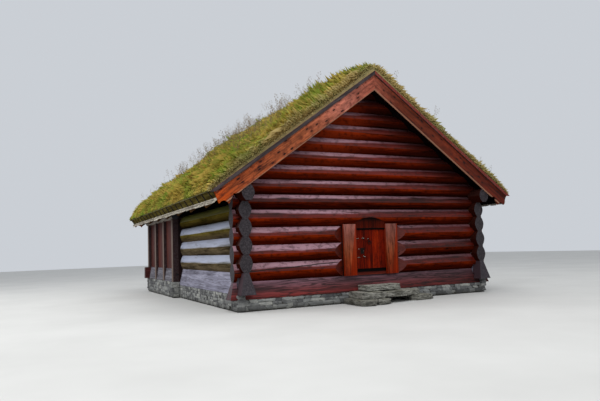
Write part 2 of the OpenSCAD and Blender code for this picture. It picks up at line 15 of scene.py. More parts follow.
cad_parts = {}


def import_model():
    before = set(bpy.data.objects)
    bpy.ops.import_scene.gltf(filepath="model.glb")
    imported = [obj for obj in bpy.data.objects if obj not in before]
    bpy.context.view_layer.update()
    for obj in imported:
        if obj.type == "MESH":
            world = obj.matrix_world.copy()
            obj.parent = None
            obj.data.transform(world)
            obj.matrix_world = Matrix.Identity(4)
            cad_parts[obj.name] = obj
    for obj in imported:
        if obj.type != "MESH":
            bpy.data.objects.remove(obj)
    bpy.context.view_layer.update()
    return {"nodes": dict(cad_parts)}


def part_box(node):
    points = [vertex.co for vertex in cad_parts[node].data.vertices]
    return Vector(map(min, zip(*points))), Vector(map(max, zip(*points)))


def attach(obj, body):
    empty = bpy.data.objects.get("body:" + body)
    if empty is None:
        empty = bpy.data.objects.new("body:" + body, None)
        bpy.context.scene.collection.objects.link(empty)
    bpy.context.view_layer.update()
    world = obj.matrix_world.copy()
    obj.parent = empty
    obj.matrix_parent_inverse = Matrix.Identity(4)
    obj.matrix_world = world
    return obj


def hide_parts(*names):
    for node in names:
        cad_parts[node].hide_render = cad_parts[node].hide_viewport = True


LOG = logging.getLogger("house")


class Axis(Enum):
    """A direction of the frame, such as the one that wood grain follows."""

    X = 0
    Y = 1
    Z = 2


def linear(hex_colour: str) -> tuple[float, float, float, float]:
    """Turns an sRGB hex colour into linear light.

    Args:
        hex_colour: Six hex digits.

    Returns:
        Linear red, green, blue and an alpha of 1.
    """
    channels = [int(hex_colour[i:i + 2], 16) / 255 for i in (0, 2, 4)]
    light = [c / 12.92 if c <= 0.04045 else ((c + 0.055) / 1.055) ** 2.4 for c in channels]
    return (*light, 1.0)


# ---------------------------------------------------------------- node trees


class Nodes:
    """A node tree, and the one way in which nodes are added to it."""

    # Every step between two limits is soft, and what is mixed is colour
    USUAL = {"MapRange": {"interpolation_type": "SMOOTHSTEP"}, "Mix": {"data_type": "RGBA"}}

    def __init__(self, tree: NodeTree) -> None:
        """Takes a tree and empties it."""
        self.tree = tree
        tree.nodes.clear()

    def add(self, kind: str, inputs: tuple | dict = (), out: int | str = "", stops: tuple = (),
            **settings: object) -> NodeSocket | None:
        """Adds one node with its settings and links.

        Args:
            kind: The node's type name, in which ShaderNode may be left out, and after a space its operation.
            inputs: Values, hex colours or sockets to link, in the order of the inputs in use, or by name or number.
            out: The output to return; the first one in use if not given.
            stops: Places and hex colours of a colour ramp.
            **settings: Attributes of the node.

        Returns:
            The output, or None where it has none; its .node is the node.
        """
        kind, _, operation = kind.partition(" ")
        node = self.tree.nodes.new(kind if "Node" in kind else "ShaderNode" + kind)
        if operation:
            node.operation = operation
        for key, value in {**self.USUAL.get(kind, {}), **settings}.items():
            setattr(node, key, value)
        if isinstance(inputs, dict):
            pairs = [(node.inputs[key], value) for key, value in inputs.items()]
        else:
            pairs = zip([socket for socket in node.inputs if socket.enabled], inputs)
        for socket, value in pairs:
            if isinstance(value, NodeSocket):
                self.tree.links.new(value, socket)
            else:
                socket.default_value = linear(value) if socket.type == "RGBA" else value
        if stops:
            elements = node.color_ramp.elements
            while len(elements) < len(stops):
                elements.new(0.5)
            for element, (place, colour) in zip(elements, stops):
                element.position = place
                element.color = linear(colour)
        if out != "":
            return node.outputs[out]
        return next((socket for socket in node.outputs if socket.enabled), None)


class Graph(Nodes):
    """A material with a Principled surface, whose patterns lie in the part's own coordinates, in metres.

    A colour is built up from a base, and from layers that each hold an amount and a colour.
    """

    # The two slopes of a roof read places this far apart, so that their patterns differ
    SIDE_SHIFT = 7.0

    def __init__(self, name: str) -> None:
        """Starts the material.

        Args:
            name: The material's name.
        """
        self.material = bpy.data.materials.new(name)
        self.material.use_nodes = True
        super().__init__(self.material.node_tree)
        shader = self.add("BsdfPrincipled")
        self.surface = shader.node.inputs
        self.add("OutputMaterial", (shader,))
        self.coords = self.add("TexCoord", out="Object")
        self.place = self.add("SeparateXYZ", (self.coords,)).node.outputs
        self.facing = self.add("SeparateXYZ", (self.add("NewGeometry", out="Normal"),)).node.outputs
        self.layers: list[tuple] = []

    def follow_slope(self, pitch: float) -> None:
        """Turns the patterns' coordinates, so that X runs down a roof slope on either side of the centre line.

        Args:
            pitch: Slope of the roof.
        """
        x, y, z = self.place
        out = self.add("Math ABSOLUTE", (x,))
        fall = self.add("Math MULTIPLY", (z, -math.sin(pitch)))
        down = self.add("Math MULTIPLY_ADD", (out, math.cos(pitch), fall))
        rise = self.add("Math MULTIPLY", (z, math.cos(pitch)))
        square = self.add("Math MULTIPLY_ADD", (out, math.sin(pitch), rise))
        side = self.add("Math SIGN", (x,))
        apart = self.add("Math MULTIPLY_ADD", (side, self.SIDE_SHIFT, down))
        self.coords = self.add("CombineXYZ", (apart, y, square))

    def finish(self, colour: object, rough: object, **surface: object) -> Material:
        """Lays the layers over a base colour, and sets the surface.

        Args:
            colour: Socket of the base colour.
            rough: Roughness as a number or a socket.
            **surface: Other inputs by name, with _ for a space, as numbers or sockets.

        Returns:
            The material.
        """
        for amount, tone in self.layers:
            colour = self.add("Mix", (amount, colour, tone))
        for key, value in {"Base Color": colour, "Roughness": rough, **surface}.items():
            socket = self.surface[key.replace("_", " ")]
            if isinstance(value, NodeSocket):
                self.tree.links.new(value, socket)
            else:
                socket.default_value = value
        return self.material


class WoodGraph(Graph):
    """Graph of a piece of timber, with three noises that follow its grain."""

    # Stretch along the grain, scale, detail, roughness and distortion. The fibres of pine are about 1 mm wide and
    # wouldn't show, so the finest noise is 17 mm wide. The streaks are 110 mm and the blotches 600 mm wide.
    NOISES = ((0.04, 60, 6, 0.7, 0.3), (0.06, 9, 5, 0.65, 0.8), (0.3, 1.7, 4, 0.6, 0.0))

    def __init__(self, timber: "Timber") -> None:
        """Starts the material and its noises.

        Args:
            timber: The finish.
        """
        super().__init__(timber.name)
        if timber.slope is not None:
            self.follow_slope(timber.slope)
        self.fine, self.streak, self.blotch = (
            self.add("TexNoise", {
                "Vector": self.add("Mapping", {"Vector": self.coords, "Scale": timber.along(stretch)}),
                "Scale": scale, "Detail": detail, "Roughness": rough, "Distortion": warp})
            for stretch, scale, detail, rough, warp in self.NOISES)


@dataclass(frozen=True)
class Timber:
    """Hewn or sawn pine under old wood tar.

    The axe and the tar give a round log its colours; how they change from its upper to its lower side paints its
    light and shade, with nearly black seams, and a pale film on top paints both weathering and the sky's sheen.
    Grain, knots and drying cracks show through. The fields are colours as hex, lengths in metres and shares from 0 to
    1, and a span holds the two places between which something changes.
    """

    name: str
    dark: str
    mid: str
    light: str
    grain: Axis = Axis.X
    # Colours from the lower to the upper side of a round log, which paint its light and shade, or along an axis of
    # the frame
    lit_profile: tuple[tuple[float, str], ...] = ()
    fade: tuple[tuple[float, str], ...] = ()
    fade_axis: Axis = Axis.Z
    fade_span: tuple[float, float] = (0.0, 1.0)
    fade_noise: float = 0.2
    # The pale film, which paints both weathering and the sky's sheen: colour, amount, tilt of the surface where it
    # starts and is full, and where it ends upwards
    bleach_sheen_tone: str = "8f7577"
    bleach_sheen: float = 0.0
    bleach_sheen_tilt: tuple[float, float] = (0.0, 0.42)
    bleach_sheen_top: tuple[float, float] = (0.0, 0.0)
    bleach_sheen_rise: float = 0.0
    # Outer faces of the posts: distance from the centre line and place of the back face
    outer: tuple[float, float] | None = None
    outer_tone: str = "6a5a50"
    # A painted highlight along the lower edge on a roof slope: ridge height, pitch and distance below the roof line
    arris: tuple[float, float, float] | None = None
    furrows: float = 0.0
    mottle: float = 0.0
    # Painted light and shade on the axe-cut facets that face sideways: their tone, and a second tone, a painted
    # sheen, for those that face left
    facet_shade: str = ""
    facet_left_sheen: str = ""
    # Painted light and shade on the gable: ridge height, pitch and half the width of the wall; how much painted shade
    # its right side has
    gable: tuple[float, float, float] | None = None
    right_shade: float = 0.0
    low_tone: str = ""
    low_span: tuple[float, float] = (0.0, 1.0)
    specular: float = 0.22
    slope: float | None = None
    # A long crack: its start and end, each as x and z
    split: tuple[float, float, float, float] | None = None
    shade: str = "140806"
    # Cut ends, and the log ends that stand out in front of a place along Y
    end: str = "3c3f45"
    end_axis: Axis | None = None
    stub_y: float | None = None
    stub: str = "2b0d07"
    rough: float = 0.45
    gloss: float = 0.3
    knots: float = 0.5
    knot_grid: float = 0.29
    knot_r: float = 0.022
    knot_plane: bool = False
    cracks: float = 0.5
    grainy: float = 1.0
    # Width of the boards drawn on a plain surface, and height of a log course
    board: float = 0.0
    board_axis: Axis = Axis.X
    course: float = 0.0
    course_from: float = 0.0

    # The grain as greys that multiply the colour of a tarred log
    GREYS = ((0.37, "424242"), (0.46, "9c9c9c"), (0.55, "dedede"), (0.66, "ffffff"))

    def along(self, length: float, across: float = 1.0) -> tuple[float, ...]:
        """Scale of a vector that stretches a pattern along the grain."""
        return tuple(length if axis is self.grain else across for axis in Axis)

    def each(self, g: WoodGraph, step: NodeSocket) -> NodeSocket:
        """A random value from -0.5 to 0.5 for each whole number of a step."""
        value = g.add("TexWhiteNoise", {"W": g.add("Math FLOOR", (step,))}, noise_dimensions="1D")
        return g.add("Math SUBTRACT", (value, 0.5))

    def tone(self, g: WoodGraph) -> NodeSocket:
        """Works out the lightness of the wood, with a step from log to log or from board to board.

        Args:
            g: The material's graph.

        Returns:
            Lightness around 0.5.
        """
        tone = 0.0
        for noise, share in ((g.fine, 0.34), (g.streak, 0.42), (g.blotch, 0.24)):
            tone = g.add("Math MULTIPLY_ADD", (noise, share, tone))
        if self.course:
            above = g.add("Math SUBTRACT", (g.place[2], self.course_from))
            log = g.add("Math DIVIDE", (above, self.course))
            tone = g.add("Math MULTIPLY_ADD", (self.each(g, log), 0.07, tone))
        if self.board:
            step = g.add("Math DIVIDE", (g.place[self.board_axis.value], self.board))
            tone = g.add("Math MULTIPLY_ADD", (self.each(g, step), 0.13, tone))
        return tone

    def tarred(self, g: WoodGraph, tone: NodeSocket) -> NodeSocket:
        """Colours a piece around its round, in painted light and shade, or along an axis; times the grain, with a
        pale lower part.

        Args:
            g: The material's graph.
            tone: Lightness of the wood.

        Returns:
            The base colour.
        """
        if self.lit_profile:
            ragged = g.add("Math SUBTRACT", (g.streak, 0.5))
            tilt = g.add("Math MULTIPLY_ADD", (ragged, 0.16, g.facing[2]))
            at, stops = g.add("Math MULTIPLY_ADD", (tilt, 0.5, 0.5)), self.lit_profile
        else:
            low, high = self.fade_span
            past = g.add("Math SUBTRACT", (g.place[self.fade_axis.value], low))
            share = g.add("Math DIVIDE", (past, high - low))
            ragged = g.add("Math SUBTRACT", (g.blotch, 0.5))
            at, stops = g.add("Math MULTIPLY_ADD", (ragged, self.fade_noise, share)), self.fade
        body = g.add("ValToRGB", (at,), stops=stops)
        grey = g.add("ValToRGB", (tone,), stops=self.GREYS)
        if self.low_tone:
            pale = g.add("Mix", (1.0, self.low_tone, grey), blend_type="MULTIPLY")
            low = g.add("MapRange", (g.place[2], self.low_span[1], self.low_span[0], 0.0, 0.75))
            g.layers.append((low, pale))
        return g.add("Mix", (1.0, body, grey), blend_type="MULTIPLY")

    def knot(self, g: WoodGraph) -> None:
        """Sets knots in the cells of a pattern that is bent by a coarse noise, each with a dark eye and a halo.

        Args:
            g: The material's graph.
        """
        bend = g.add("TexNoise", {"Vector": g.coords, "Scale": 6.0}, "Color")
        bend = g.add("Mapping", {"Vector": bend, "Scale": (0.05, 0.05, 0.05)})
        at = g.add("Mapping", {"Vector": g.coords, "Scale": self.along(0.42)})
        at = g.add("VectorMath ADD", (at, bend))
        if self.knot_plane:
            along, _, up = g.add("SeparateXYZ", (at,)).node.outputs
            at = g.add("CombineXYZ", (along, up))
        away = g.add("TexVoronoi", {"Vector": at, "Scale": 1 / self.knot_grid}, "Distance",
                     voronoi_dimensions="2D" if self.knot_plane else "3D")
        eye = self.knot_r / self.knot_grid
        for outer, inner, share, tone in ((3.4, 1.0, 0.4, self.dark), (1.3, 0.7, 1.0, self.shade)):
            amount = g.add("MapRange", (away, outer * eye, inner * eye, 0.0, share * self.knots))
            g.layers.append((amount, tone))

    def gable_light(self, g: WoodGraph) -> tuple:
        """Paints shade on the gable's right side, under the roof's edge, and paints light where the sky reaches it.

        Args:
            g: The material's graph.

        Returns:
            Place across the gable from -1 to 1, light of the open sky, and half the gable's width at each height.
        """
        ridge, pitch, widest = self.gable
        below = g.add("Math SUBTRACT", (ridge, g.place[2]))
        half = g.add("Math DIVIDE", (below, math.tan(pitch)))
        wide = g.add("Math MINIMUM", (widest, g.add("Math MAXIMUM", (half, 0.2))))
        across = g.add("Math DIVIDE", (g.place[0], wide))
        high = g.add("MapRange", (g.place[2], 3.2, 5.2))
        sky = g.add("Math MULTIPLY", (high, g.add("MapRange", (across, 0.3, -0.5))))
        g.layers.append((g.add("MapRange", (across, -0.5, 1.1, 0.0, self.right_shade)), self.shade))
        g.layers.append((g.add("Math MULTIPLY", (sky, 0.45)), self.light))
        return across, sky, half

    def pale_film_and_sheen(self, g: WoodGraph, across: object, sky: object) -> None:
        """Lays the pale film on the upper side of a log, which paints both weathering and the sky's sheen.

        Args:
            g: The material's graph.
            across: Place across the gable from -1 to 1, or None away from a gable.
            sky: Light of the open sky there, or None.
        """
        ragged = g.add("Math SUBTRACT", (g.add("Math ADD", (g.streak, g.blotch)), 1.0))
        tilt = g.add("Math MULTIPLY_ADD", (ragged, 0.34, g.facing[2]))
        if self.bleach_sheen_rise:
            tilt = g.add("Math MULTIPLY_ADD", (g.place[2], -self.bleach_sheen_rise, tilt))
        if across is not None:
            right = g.add("MapRange", (across, -0.8, 0.8))
            tilt = g.add("Math MULTIPLY_ADD", (right, -0.13, tilt))
            tilt = g.add("Math MULTIPLY_ADD", (sky, 0.13, tilt))
        amount = g.add("MapRange", (tilt, *self.bleach_sheen_tilt, 0.0, self.bleach_sheen))
        # The film is thinner in patches about 1.2 m wide
        wide = g.add("Mapping", {"Vector": g.coords, "Scale": self.along(0.6, 1.5)})
        wide = g.add("TexNoise", {"Vector": wide, "Scale": 0.8, "Detail": 3, "Roughness": 0.55})
        patchy = g.add("MapRange", (g.add("Math ADD", (g.streak, wide)), 0.7, 1.1))
        patchy = g.add("Math MULTIPLY_ADD", (patchy, 0.4, 0.6))
        amount = g.add("Math MULTIPLY", (amount, patchy))
        if across is not None:
            early = g.add("Math MULTIPLY_ADD", (g.place[2], 0.07, across))
            early = g.add("MapRange", (early, -0.3, 0.95, 1.0, 0.25))
            amount = g.add("Math MULTIPLY", (amount, early))
        if self.bleach_sheen_top != (0.0, 0.0):
            top = g.add("MapRange", (g.place[2], self.bleach_sheen_top[1], self.bleach_sheen_top[0]))
            amount = g.add("Math MULTIPLY", (amount, top))
        g.layers.append((amount, self.bleach_sheen_tone))

    def long_crack(self, g: WoodGraph) -> None:
        """Draws one long open crack, 18 mm wide with soft edges, which rises a little from start to end.

        Args:
            g: The material's graph.
        """
        start, low, end, high = self.split
        rate = (high - low) / (end - start)
        rise = g.add("Math MULTIPLY_ADD", (g.place[0], -rate, g.place[2]))
        bend = g.add("Mapping", {"Vector": g.coords, "Scale": (1.0, 0.1, 0.1)})
        bend = g.add("TexNoise", {"Vector": bend, "Scale": 1.6, "Detail": 4, "Roughness": 0.6})
        rise = g.add("Math MULTIPLY_ADD", (bend, 0.05, rise))
        off = g.add("Math ABSOLUTE", (g.add("Math SUBTRACT", (rise, low - start * rate + 0.025)),))
        amount = g.add("MapRange", (off, 0.018, 0.009))
        for near, inside in ((start, start + 0.5), (end, end - 0.4)):
            run = g.add("MapRange", (g.place[0], near, inside))
            amount = g.add("Math MULTIPLY", (amount, run))
        g.layers.append((amount, self.shade))

    def outer_face(self, g: WoodGraph) -> None:
        """Greys the outer faces of the posts, in streaks.

        Args:
            g: The material's graph.
        """
        side, back = self.outer
        out = g.add("Math ABSOLUTE", (g.place[0],))
        face = g.add("Math MAXIMUM", tuple(
            g.add("MapRange", (value, at - 0.02, at - 0.004)) for value, at in ((out, side), (g.place[1], back))))
        streaks = g.add("Math MULTIPLY_ADD", (g.streak, 0.6, 0.6))
        g.layers.append((g.add("Math MULTIPLY", (face, streaks)), self.outer_tone))

    def edge_highlight(self, g: WoodGraph) -> None:
        """Paints a highlight along the lower edge of a bargeboard, where its chamfer catches the light.

        Args:
            g: The material's graph.
        """
        ridge, pitch, drop = self.arris
        out = g.add("Math ABSOLUTE", (g.place[0],))
        down = g.add("Math MULTIPLY", (out, math.sin(pitch)))
        below = g.add("Math SUBTRACT", (g.place[2], ridge))
        square = g.add("Math MULTIPLY_ADD", (below, math.cos(pitch), down))
        band = g.add("Math MULTIPLY", tuple(
            g.add("MapRange", (square, drop + far, drop + near)) for far, near in ((0.03, 0.018), (-0.02, -0.008))))
        g.layers.append((g.add("Math MULTIPLY", (band, 0.6)), "b98a70"))

    def facet_shading(self, g: WoodGraph) -> None:
        """Paints light and shade on the facets that face sideways, where the axe has left flat cuts, by the way they
        face.

        Args:
            g: The material's graph.
        """
        slant = g.add("MapRange", (g.add("Math ABSOLUTE", (g.facing[0],)), 0.06, 0.12, 0.0, 0.8))
        tone = g.add("Mix", (g.streak, self.dark, self.facet_shade))
        if self.facet_left_sheen:
            left = g.add("Mix", (g.streak, self.facet_shade, self.facet_left_sheen))
            tone = g.add("Mix", (g.add("MapRange", (g.facing[0], 0.02, -0.02)), tone, left))
        g.layers.append((slant, tone))

    def furrow(self, g: WoodGraph) -> None:
        """Draws weathered furrows along the grain, about 90 mm apart.

        Args:
            g: The material's graph.
        """
        at = g.add("Mapping", {"Vector": g.coords, "Scale": self.along(0.045)})
        at = g.add("TexNoise", {"Vector": at, "Scale": 11, "Detail": 3, "Roughness": 0.6, "Distortion": 0.5})
        off = g.add("Math ABSOLUTE", (g.add("Math SUBTRACT", (at, 0.5)),))
        g.layers.append((g.add("MapRange", (off, 0.045, 0.012, 0.0, self.furrows)), self.shade))

    def crack(self, g: WoodGraph) -> NodeSocket:
        """Draws drying cracks along the grain, in some places only.

        Args:
            g: The material's graph.

        Returns:
            Depth of the cracks.
        """
        at = g.add("Mapping", {"Vector": g.coords, "Scale": self.along(0.09, 3.2)})
        at = g.add("TexNoise", {"Vector": at, "Scale": 2.4, "Detail": 2, "Roughness": 0.5, "Distortion": 0.8})
        off = g.add("Math ABSOLUTE", (g.add("Math SUBTRACT", (at, 0.5)),))
        where = g.add("Mapping", {"Vector": g.coords, "Scale": self.along(0.5, 1.6)})
        where = g.add("TexNoise", {"Vector": where, "Scale": 0.9, "Detail": 1, "Roughness": 0.55})
        where = g.add("MapRange", (where, 0.48, 0.56, 0.0, self.cracks))
        depth = g.add("Math MULTIPLY", (g.add("MapRange", (off, 0.012, 0.003)), where))
        g.layers.append((depth, self.shade))
        return depth

    def joint(self, g: WoodGraph) -> NodeSocket:
        """Draws the joints between boards, 4 mm wide and 14 mm with their soft edges.

        Args:
            g: The material's graph.

        Returns:
            Depth of the joints.
        """
        step = g.add("Math DIVIDE", (g.place[self.board_axis.value], self.board))
        part = g.add("Math SUBTRACT", (g.add("Math FRACT", (step,)), 0.5))
        middle = g.add("Math ABSOLUTE", (part,))
        depth = g.add("MapRange", (middle, 0.5 - 0.007 / self.board, 0.5 - 0.002 / self.board))
        g.layers.append((g.add("Math MULTIPLY", (depth, 0.85)), self.shade))
        return depth

    def cut_end(self, g: WoodGraph) -> None:
        """Greys the end grain, with spots and checks, and darkens the log ends that stand out in front.

        Args:
            g: The material's graph.
        """
        if self.stub_y is not None:
            g.layers.append((g.add("MapRange", (g.place[1], self.stub_y, self.stub_y - 0.05)), self.stub))
        flat = g.add("Math ABSOLUTE", (g.facing[self.end_axis.value],))
        cut = g.add("MapRange", (flat, 0.93, 0.985))
        spots = g.add("TexNoise", {"Vector": g.coords, "Scale": 24, "Detail": 5, "Roughness": 0.75})
        spots = g.add("MapRange", (spots, 0.35, 0.7, 0.0, 0.5))
        grey = g.add("Mix", (spots, self.end, "5c5559"))
        radial = g.add("TexVoronoi", {"Vector": g.coords, "Scale": 9.0}, "Distance", feature="DISTANCE_TO_EDGE")
        check = g.add("MapRange", (radial, 0.04, 0.0, 0.0, 0.8))
        g.layers.append((cut, g.add("Mix", (check, grey, "131417"))))

    def build(self) -> Material:
        """Builds the material.

        Returns:
            The material.
        """
        g = WoodGraph(self)
        tone = self.tone(g)
        self.knot(g)
        if self.lit_profile or self.fade:
            colour = self.tarred(g, tone)
        else:
            colour = g.add("ValToRGB", (tone,), stops=((0.37, self.dark), (0.5, self.mid), (0.64, self.light)))
        across, sky, half = self.gable_light(g) if self.gable else (None, None, None)
        if self.bleach_sheen:
            self.pale_film_and_sheen(g, across, sky)
        if self.gable:
            # Painted shade under the right-hand roof edge, which keeps the sky off the logs below it
            under = g.add("Math SUBTRACT", (half, g.place[0]))
            under = g.add("Math MULTIPLY", (under, math.sin(self.gable[1])))
            g.layers.append((g.add("MapRange", (under, 1.15, 0.3, 0.0, 0.58)), self.shade))
        if self.split:
            self.long_crack(g)
        if self.mottle:
            # Flaking tar, in spots about 100 mm wide
            tar = g.add("Mapping", {"Vector": g.coords, "Scale": self.along(0.6)})
            tar = g.add("TexNoise", {"Vector": tar, "Scale": 10, "Detail": 4, "Roughness": 0.7})
            g.layers.append((g.add("MapRange", (tar, 0.47, 0.66, 0.0, self.mottle)), self.dark))
        for wanted, layer in ((self.outer, self.outer_face), (self.arris, self.edge_highlight), (self.facet_shade, self.facet_shading),
                              (self.furrows, self.furrow)):
            if wanted:
                layer(g)
        height = g.add("Math MULTIPLY", (self.crack(g), -1.0))
        height = g.add("Math MULTIPLY_ADD", (g.fine, 0.5 * self.grainy, height))
        if self.board:
            height = g.add("Math MULTIPLY_ADD", (self.joint(g), -1.5, height))
        if self.end_axis is not None:
            self.cut_end(g)
        # Weather keeps the upper side sleek; the sheltered lower side stays dull
        sleek = g.add("MapRange", (g.facing[2], -0.16, 0.12))
        rough = g.add("Math MULTIPLY_ADD", (sleek, self.rough - 0.75, 0.65))
        rough = g.add("Math MULTIPLY_ADD", (g.fine, 0.25, rough))
        relief = g.add("Bump", {"Height": height, "Distance": 0.005, "Strength": 0.9})
        coat, shine = (g.add("Math MULTIPLY", (sleek, share)) for share in (self.gloss, self.specular))
        return g.finish(colour, rough, Normal=relief, Coat_Weight=coat, Coat_Roughness=0.3, Specular_IOR_Level=shine)


@dataclass(frozen=True)
class Stone:
    """Weathered fieldstone: broken, not dressed, so that each piece has its own tone, lichen spots and damp feet."""

    name: str
    tones: tuple[str, str, str, str] = ("3f4041", "66676a", "8b8d90", "b9b8b2")
    moss: float = 0.2
    damp_below: float = 0.12
    strata: float = 0.0
    spread: float = 0.5

    # Where the four tones lie on the ramp
    PLACES = (0.28, 0.45, 0.62, 0.85)

    def layered(self, g: Graph) -> None:
        """Draws the split layers on the sides of a slab, about 45 mm thick, and dark stains 400 mm wide.

        Args:
            g: The material's graph.
        """
        layer = g.add("Mapping", {"Vector": g.coords, "Scale": (0.8, 0.8, 7.0)})
        layer = g.add("TexNoise", {"Vector": layer, "Scale": 3.2, "Detail": 4, "Roughness": 0.6, "Distortion": 0.6})
        off = g.add("Math ABSOLUTE", (g.add("Math SUBTRACT", (layer, 0.5)),))
        upright = g.add("Math ABSOLUTE", (g.facing[2],))
        side = g.add("MapRange", (upright, 0.8, 0.5, 0.0, self.strata))
        split = g.add("Math MULTIPLY", (g.add("MapRange", (off, 0.04, 0.01)), side))
        g.layers.append((split, "1d1b17"))
        stain = g.add("TexNoise", {"Vector": g.coords, "Scale": 2.6, "Detail": 5, "Roughness": 0.65})
        g.layers.append((g.add("MapRange", (stain, 0.5, 0.66, 0.0, 0.7 * self.strata)), "38362e"))

    def build(self) -> Material:
        """Builds the material.

        Returns:
            The material.
        """
        g = Graph(self.name)
        island = g.add("NewGeometry", out="Random Per Island")
        # Patches of 140 mm, and grit that is really 1 to 3 mm but would not show, so it is drawn 17 mm wide
        coarse = g.add("TexNoise", {"Vector": g.coords, "Scale": 7, "Detail": 5, "Roughness": 0.6})
        grit = g.add("TexNoise", {"Vector": g.coords, "Scale": 60, "Detail": 5, "Roughness": 0.7})
        tone = g.add("Math MULTIPLY_ADD", (g.add("Math SUBTRACT", (island, 0.5)), self.spread, 0.25))
        for noise, share in ((coarse, 0.4), (grit, 0.22)):
            tone = g.add("Math MULTIPLY_ADD", (noise, share, tone))
        colour = g.add("ValToRGB", (tone,), stops=tuple(zip(self.PLACES, self.tones)))
        # Lichen in spots of 20 mm, only where the coarse noise is high
        spots = g.add("TexVoronoi", {"Vector": g.coords, "Scale": 16.0}, "Distance")
        high = g.add("MapRange", (coarse, 0.5, 0.62, 0.0, 0.6))
        lichen = g.add("Math MULTIPLY", (g.add("MapRange", (spots, 0.2, 0.08)), high))
        g.layers.append((lichen, "c9c8ba"))
        green = g.add("TexNoise", {"Vector": g.coords, "Scale": 5, "Detail": 4, "Roughness": 0.55})
        green = g.add("MapRange", (green, 0.42, 0.65, 0.0, self.moss))
        green = g.add("Math MULTIPLY", (g.add("MapRange", (g.facing[2], 0.2, 0.9)), green))
        g.layers.append((green, "5c5b33"))
        if self.strata:
            self.layered(g)
        foot = g.add("Math MULTIPLY_ADD", (coarse, -0.1, g.place[2]))
        g.layers.append((g.add("MapRange", (foot, self.damp_below, 0.0, 0.0, 0.45)), "33322c"))
        height = 0.0
        for noise, share in ((coarse, 0.7), (grit, 0.3)):
            height = g.add("Math MULTIPLY_ADD", (noise, share, height))
        relief = g.add("Bump", {"Height": height, "Distance": 0.02, "Strength": 0.8})
        return g.finish(colour, 0.86, Normal=relief, Specular_IOR_Level=0.3)


@dataclass(frozen=True)
class Grass:
    """Autumn grass, grown wild: green at the foot of a blade, straw at its tip, varying from clump to clump."""

    name: str
    foot: tuple[str, str] = ("424e16", "766a2c")
    tip: tuple[str, str] = ("84982e", "bca34c")
    along: bool = True
    verge: float = -100.0

    def build(self) -> Material:
        """Builds the material.

        Returns:
            The material.
        """
        g = Graph(self.name)
        # Clumps of 1.1 m, and tufts of 220 mm that lie down the slope
        clump = g.add("TexNoise", {"Vector": g.coords, "Scale": 0.9, "Detail": 5, "Roughness": 0.65})
        patch = g.add("Mapping", {"Vector": g.coords, "Scale": (0.45, 1.0, 0.45)})
        patch = g.add("TexNoise", {"Vector": patch, "Scale": 4.5, "Detail": 4, "Roughness": 0.6})
        blend = g.add("Math MULTIPLY_ADD", (clump, 0.75, g.add("Math MULTIPLY", (patch, 0.45))))
        if self.along:
            each = g.add("Math SUBTRACT", (g.add("NewGeometry", out="Random Per Island"), 0.5))
            blend = g.add("Math MULTIPLY_ADD", (each, 0.12, blend))
            length = g.add("Attribute", out="Fac", attribute_name="blade")
        else:
            length = g.add("TexNoise", {"Vector": g.coords, "Scale": 22, "Detail": 5, "Roughness": 0.7})
        # Towards the front verge the blades take their tip colour down to the foot, which paints light over their
        # shaded feet, and the last strip is dead
        verge_lit = g.add("MapRange", (g.place[1], self.verge + 0.9, self.verge))
        length = g.add("Math MAXIMUM", (length, verge_lit))
        yellow = g.add("MapRange", (blend, 0.48, 0.68))
        low, high = (g.add("Mix", (yellow, green, straw)) for green, straw in (self.foot, self.tip))
        g.layers.append((g.add("MapRange", (length, 0.1, 0.8)), high))
        # Painted shade between the tufts, darker where a stretched noise is low
        tuft_shade = g.add("Mapping", {"Vector": g.coords, "Scale": (0.5, 1.0, 0.5)})
        tuft_shade = g.add("TexNoise", {"Vector": tuft_shade, "Scale": 2.6, "Detail": 4, "Roughness": 0.6, "Distortion": 0.4})
        g.layers.append((g.add("MapRange", (tuft_shade, 0.52, 0.38, 0.0, 0.45)), "5e5216"))
        ragged = g.add("Math MULTIPLY_ADD", (clump, -0.3, g.place[1]))
        dead = g.add("MapRange", (ragged, self.verge + 0.1, self.verge - 0.14, 0.0, 0.65))
        g.layers.append((dead, "a8946a"))
        surface = {"Specular_IOR_Level": 0.25}
        if not self.along:
            surface["Normal"] = g.add("Bump", {"Height": length, "Distance": 0.05, "Strength": 0.9})
        return g.finish(low, 0.7, **surface)


@dataclass(frozen=True)
class Bark:
    """Birch bark peeled in sheets: whitish outside with dark dashes, tan at the torn edges."""

    name: str = "birch bark"

    def build(self) -> Material:
        """Builds the material.

        Returns:
            The material.
        """
        g = Graph(self.name)
        # Layers are really 0.5 mm thick and are drawn 7 mm thick; the blotches are 250 mm wide
        layers, blotch = (
            g.add("TexNoise", {"Vector": g.add("Mapping", {"Vector": g.coords, "Scale": stretch}), "Scale": scale,
                               "Detail": 4, "Roughness": 0.6})
            for stretch, scale in (((1.0, 0.12, 2.4), 60), ((1, 0.5, 1), 4)))
        tone = g.add("Math MULTIPLY_ADD", (layers, 0.6, g.add("Math MULTIPLY", (blotch, 0.4))))
        colour = g.add("ValToRGB", (tone,),
                       stops=((0.33, "4a4038"), (0.43, "8f8473"), (0.52, "c2b9a8"), (0.66, "e6e0d2")))
        # Painted shade on the faces that look down
        g.layers.append((g.add("MapRange", (g.facing[2], -0.1, -0.8, 0.0, 0.8)), "2a211c"))
        relief = g.add("Bump", {"Height": layers, "Distance": 0.006, "Strength": 0.8})
        return g.finish(colour, 0.75, Normal=relief)


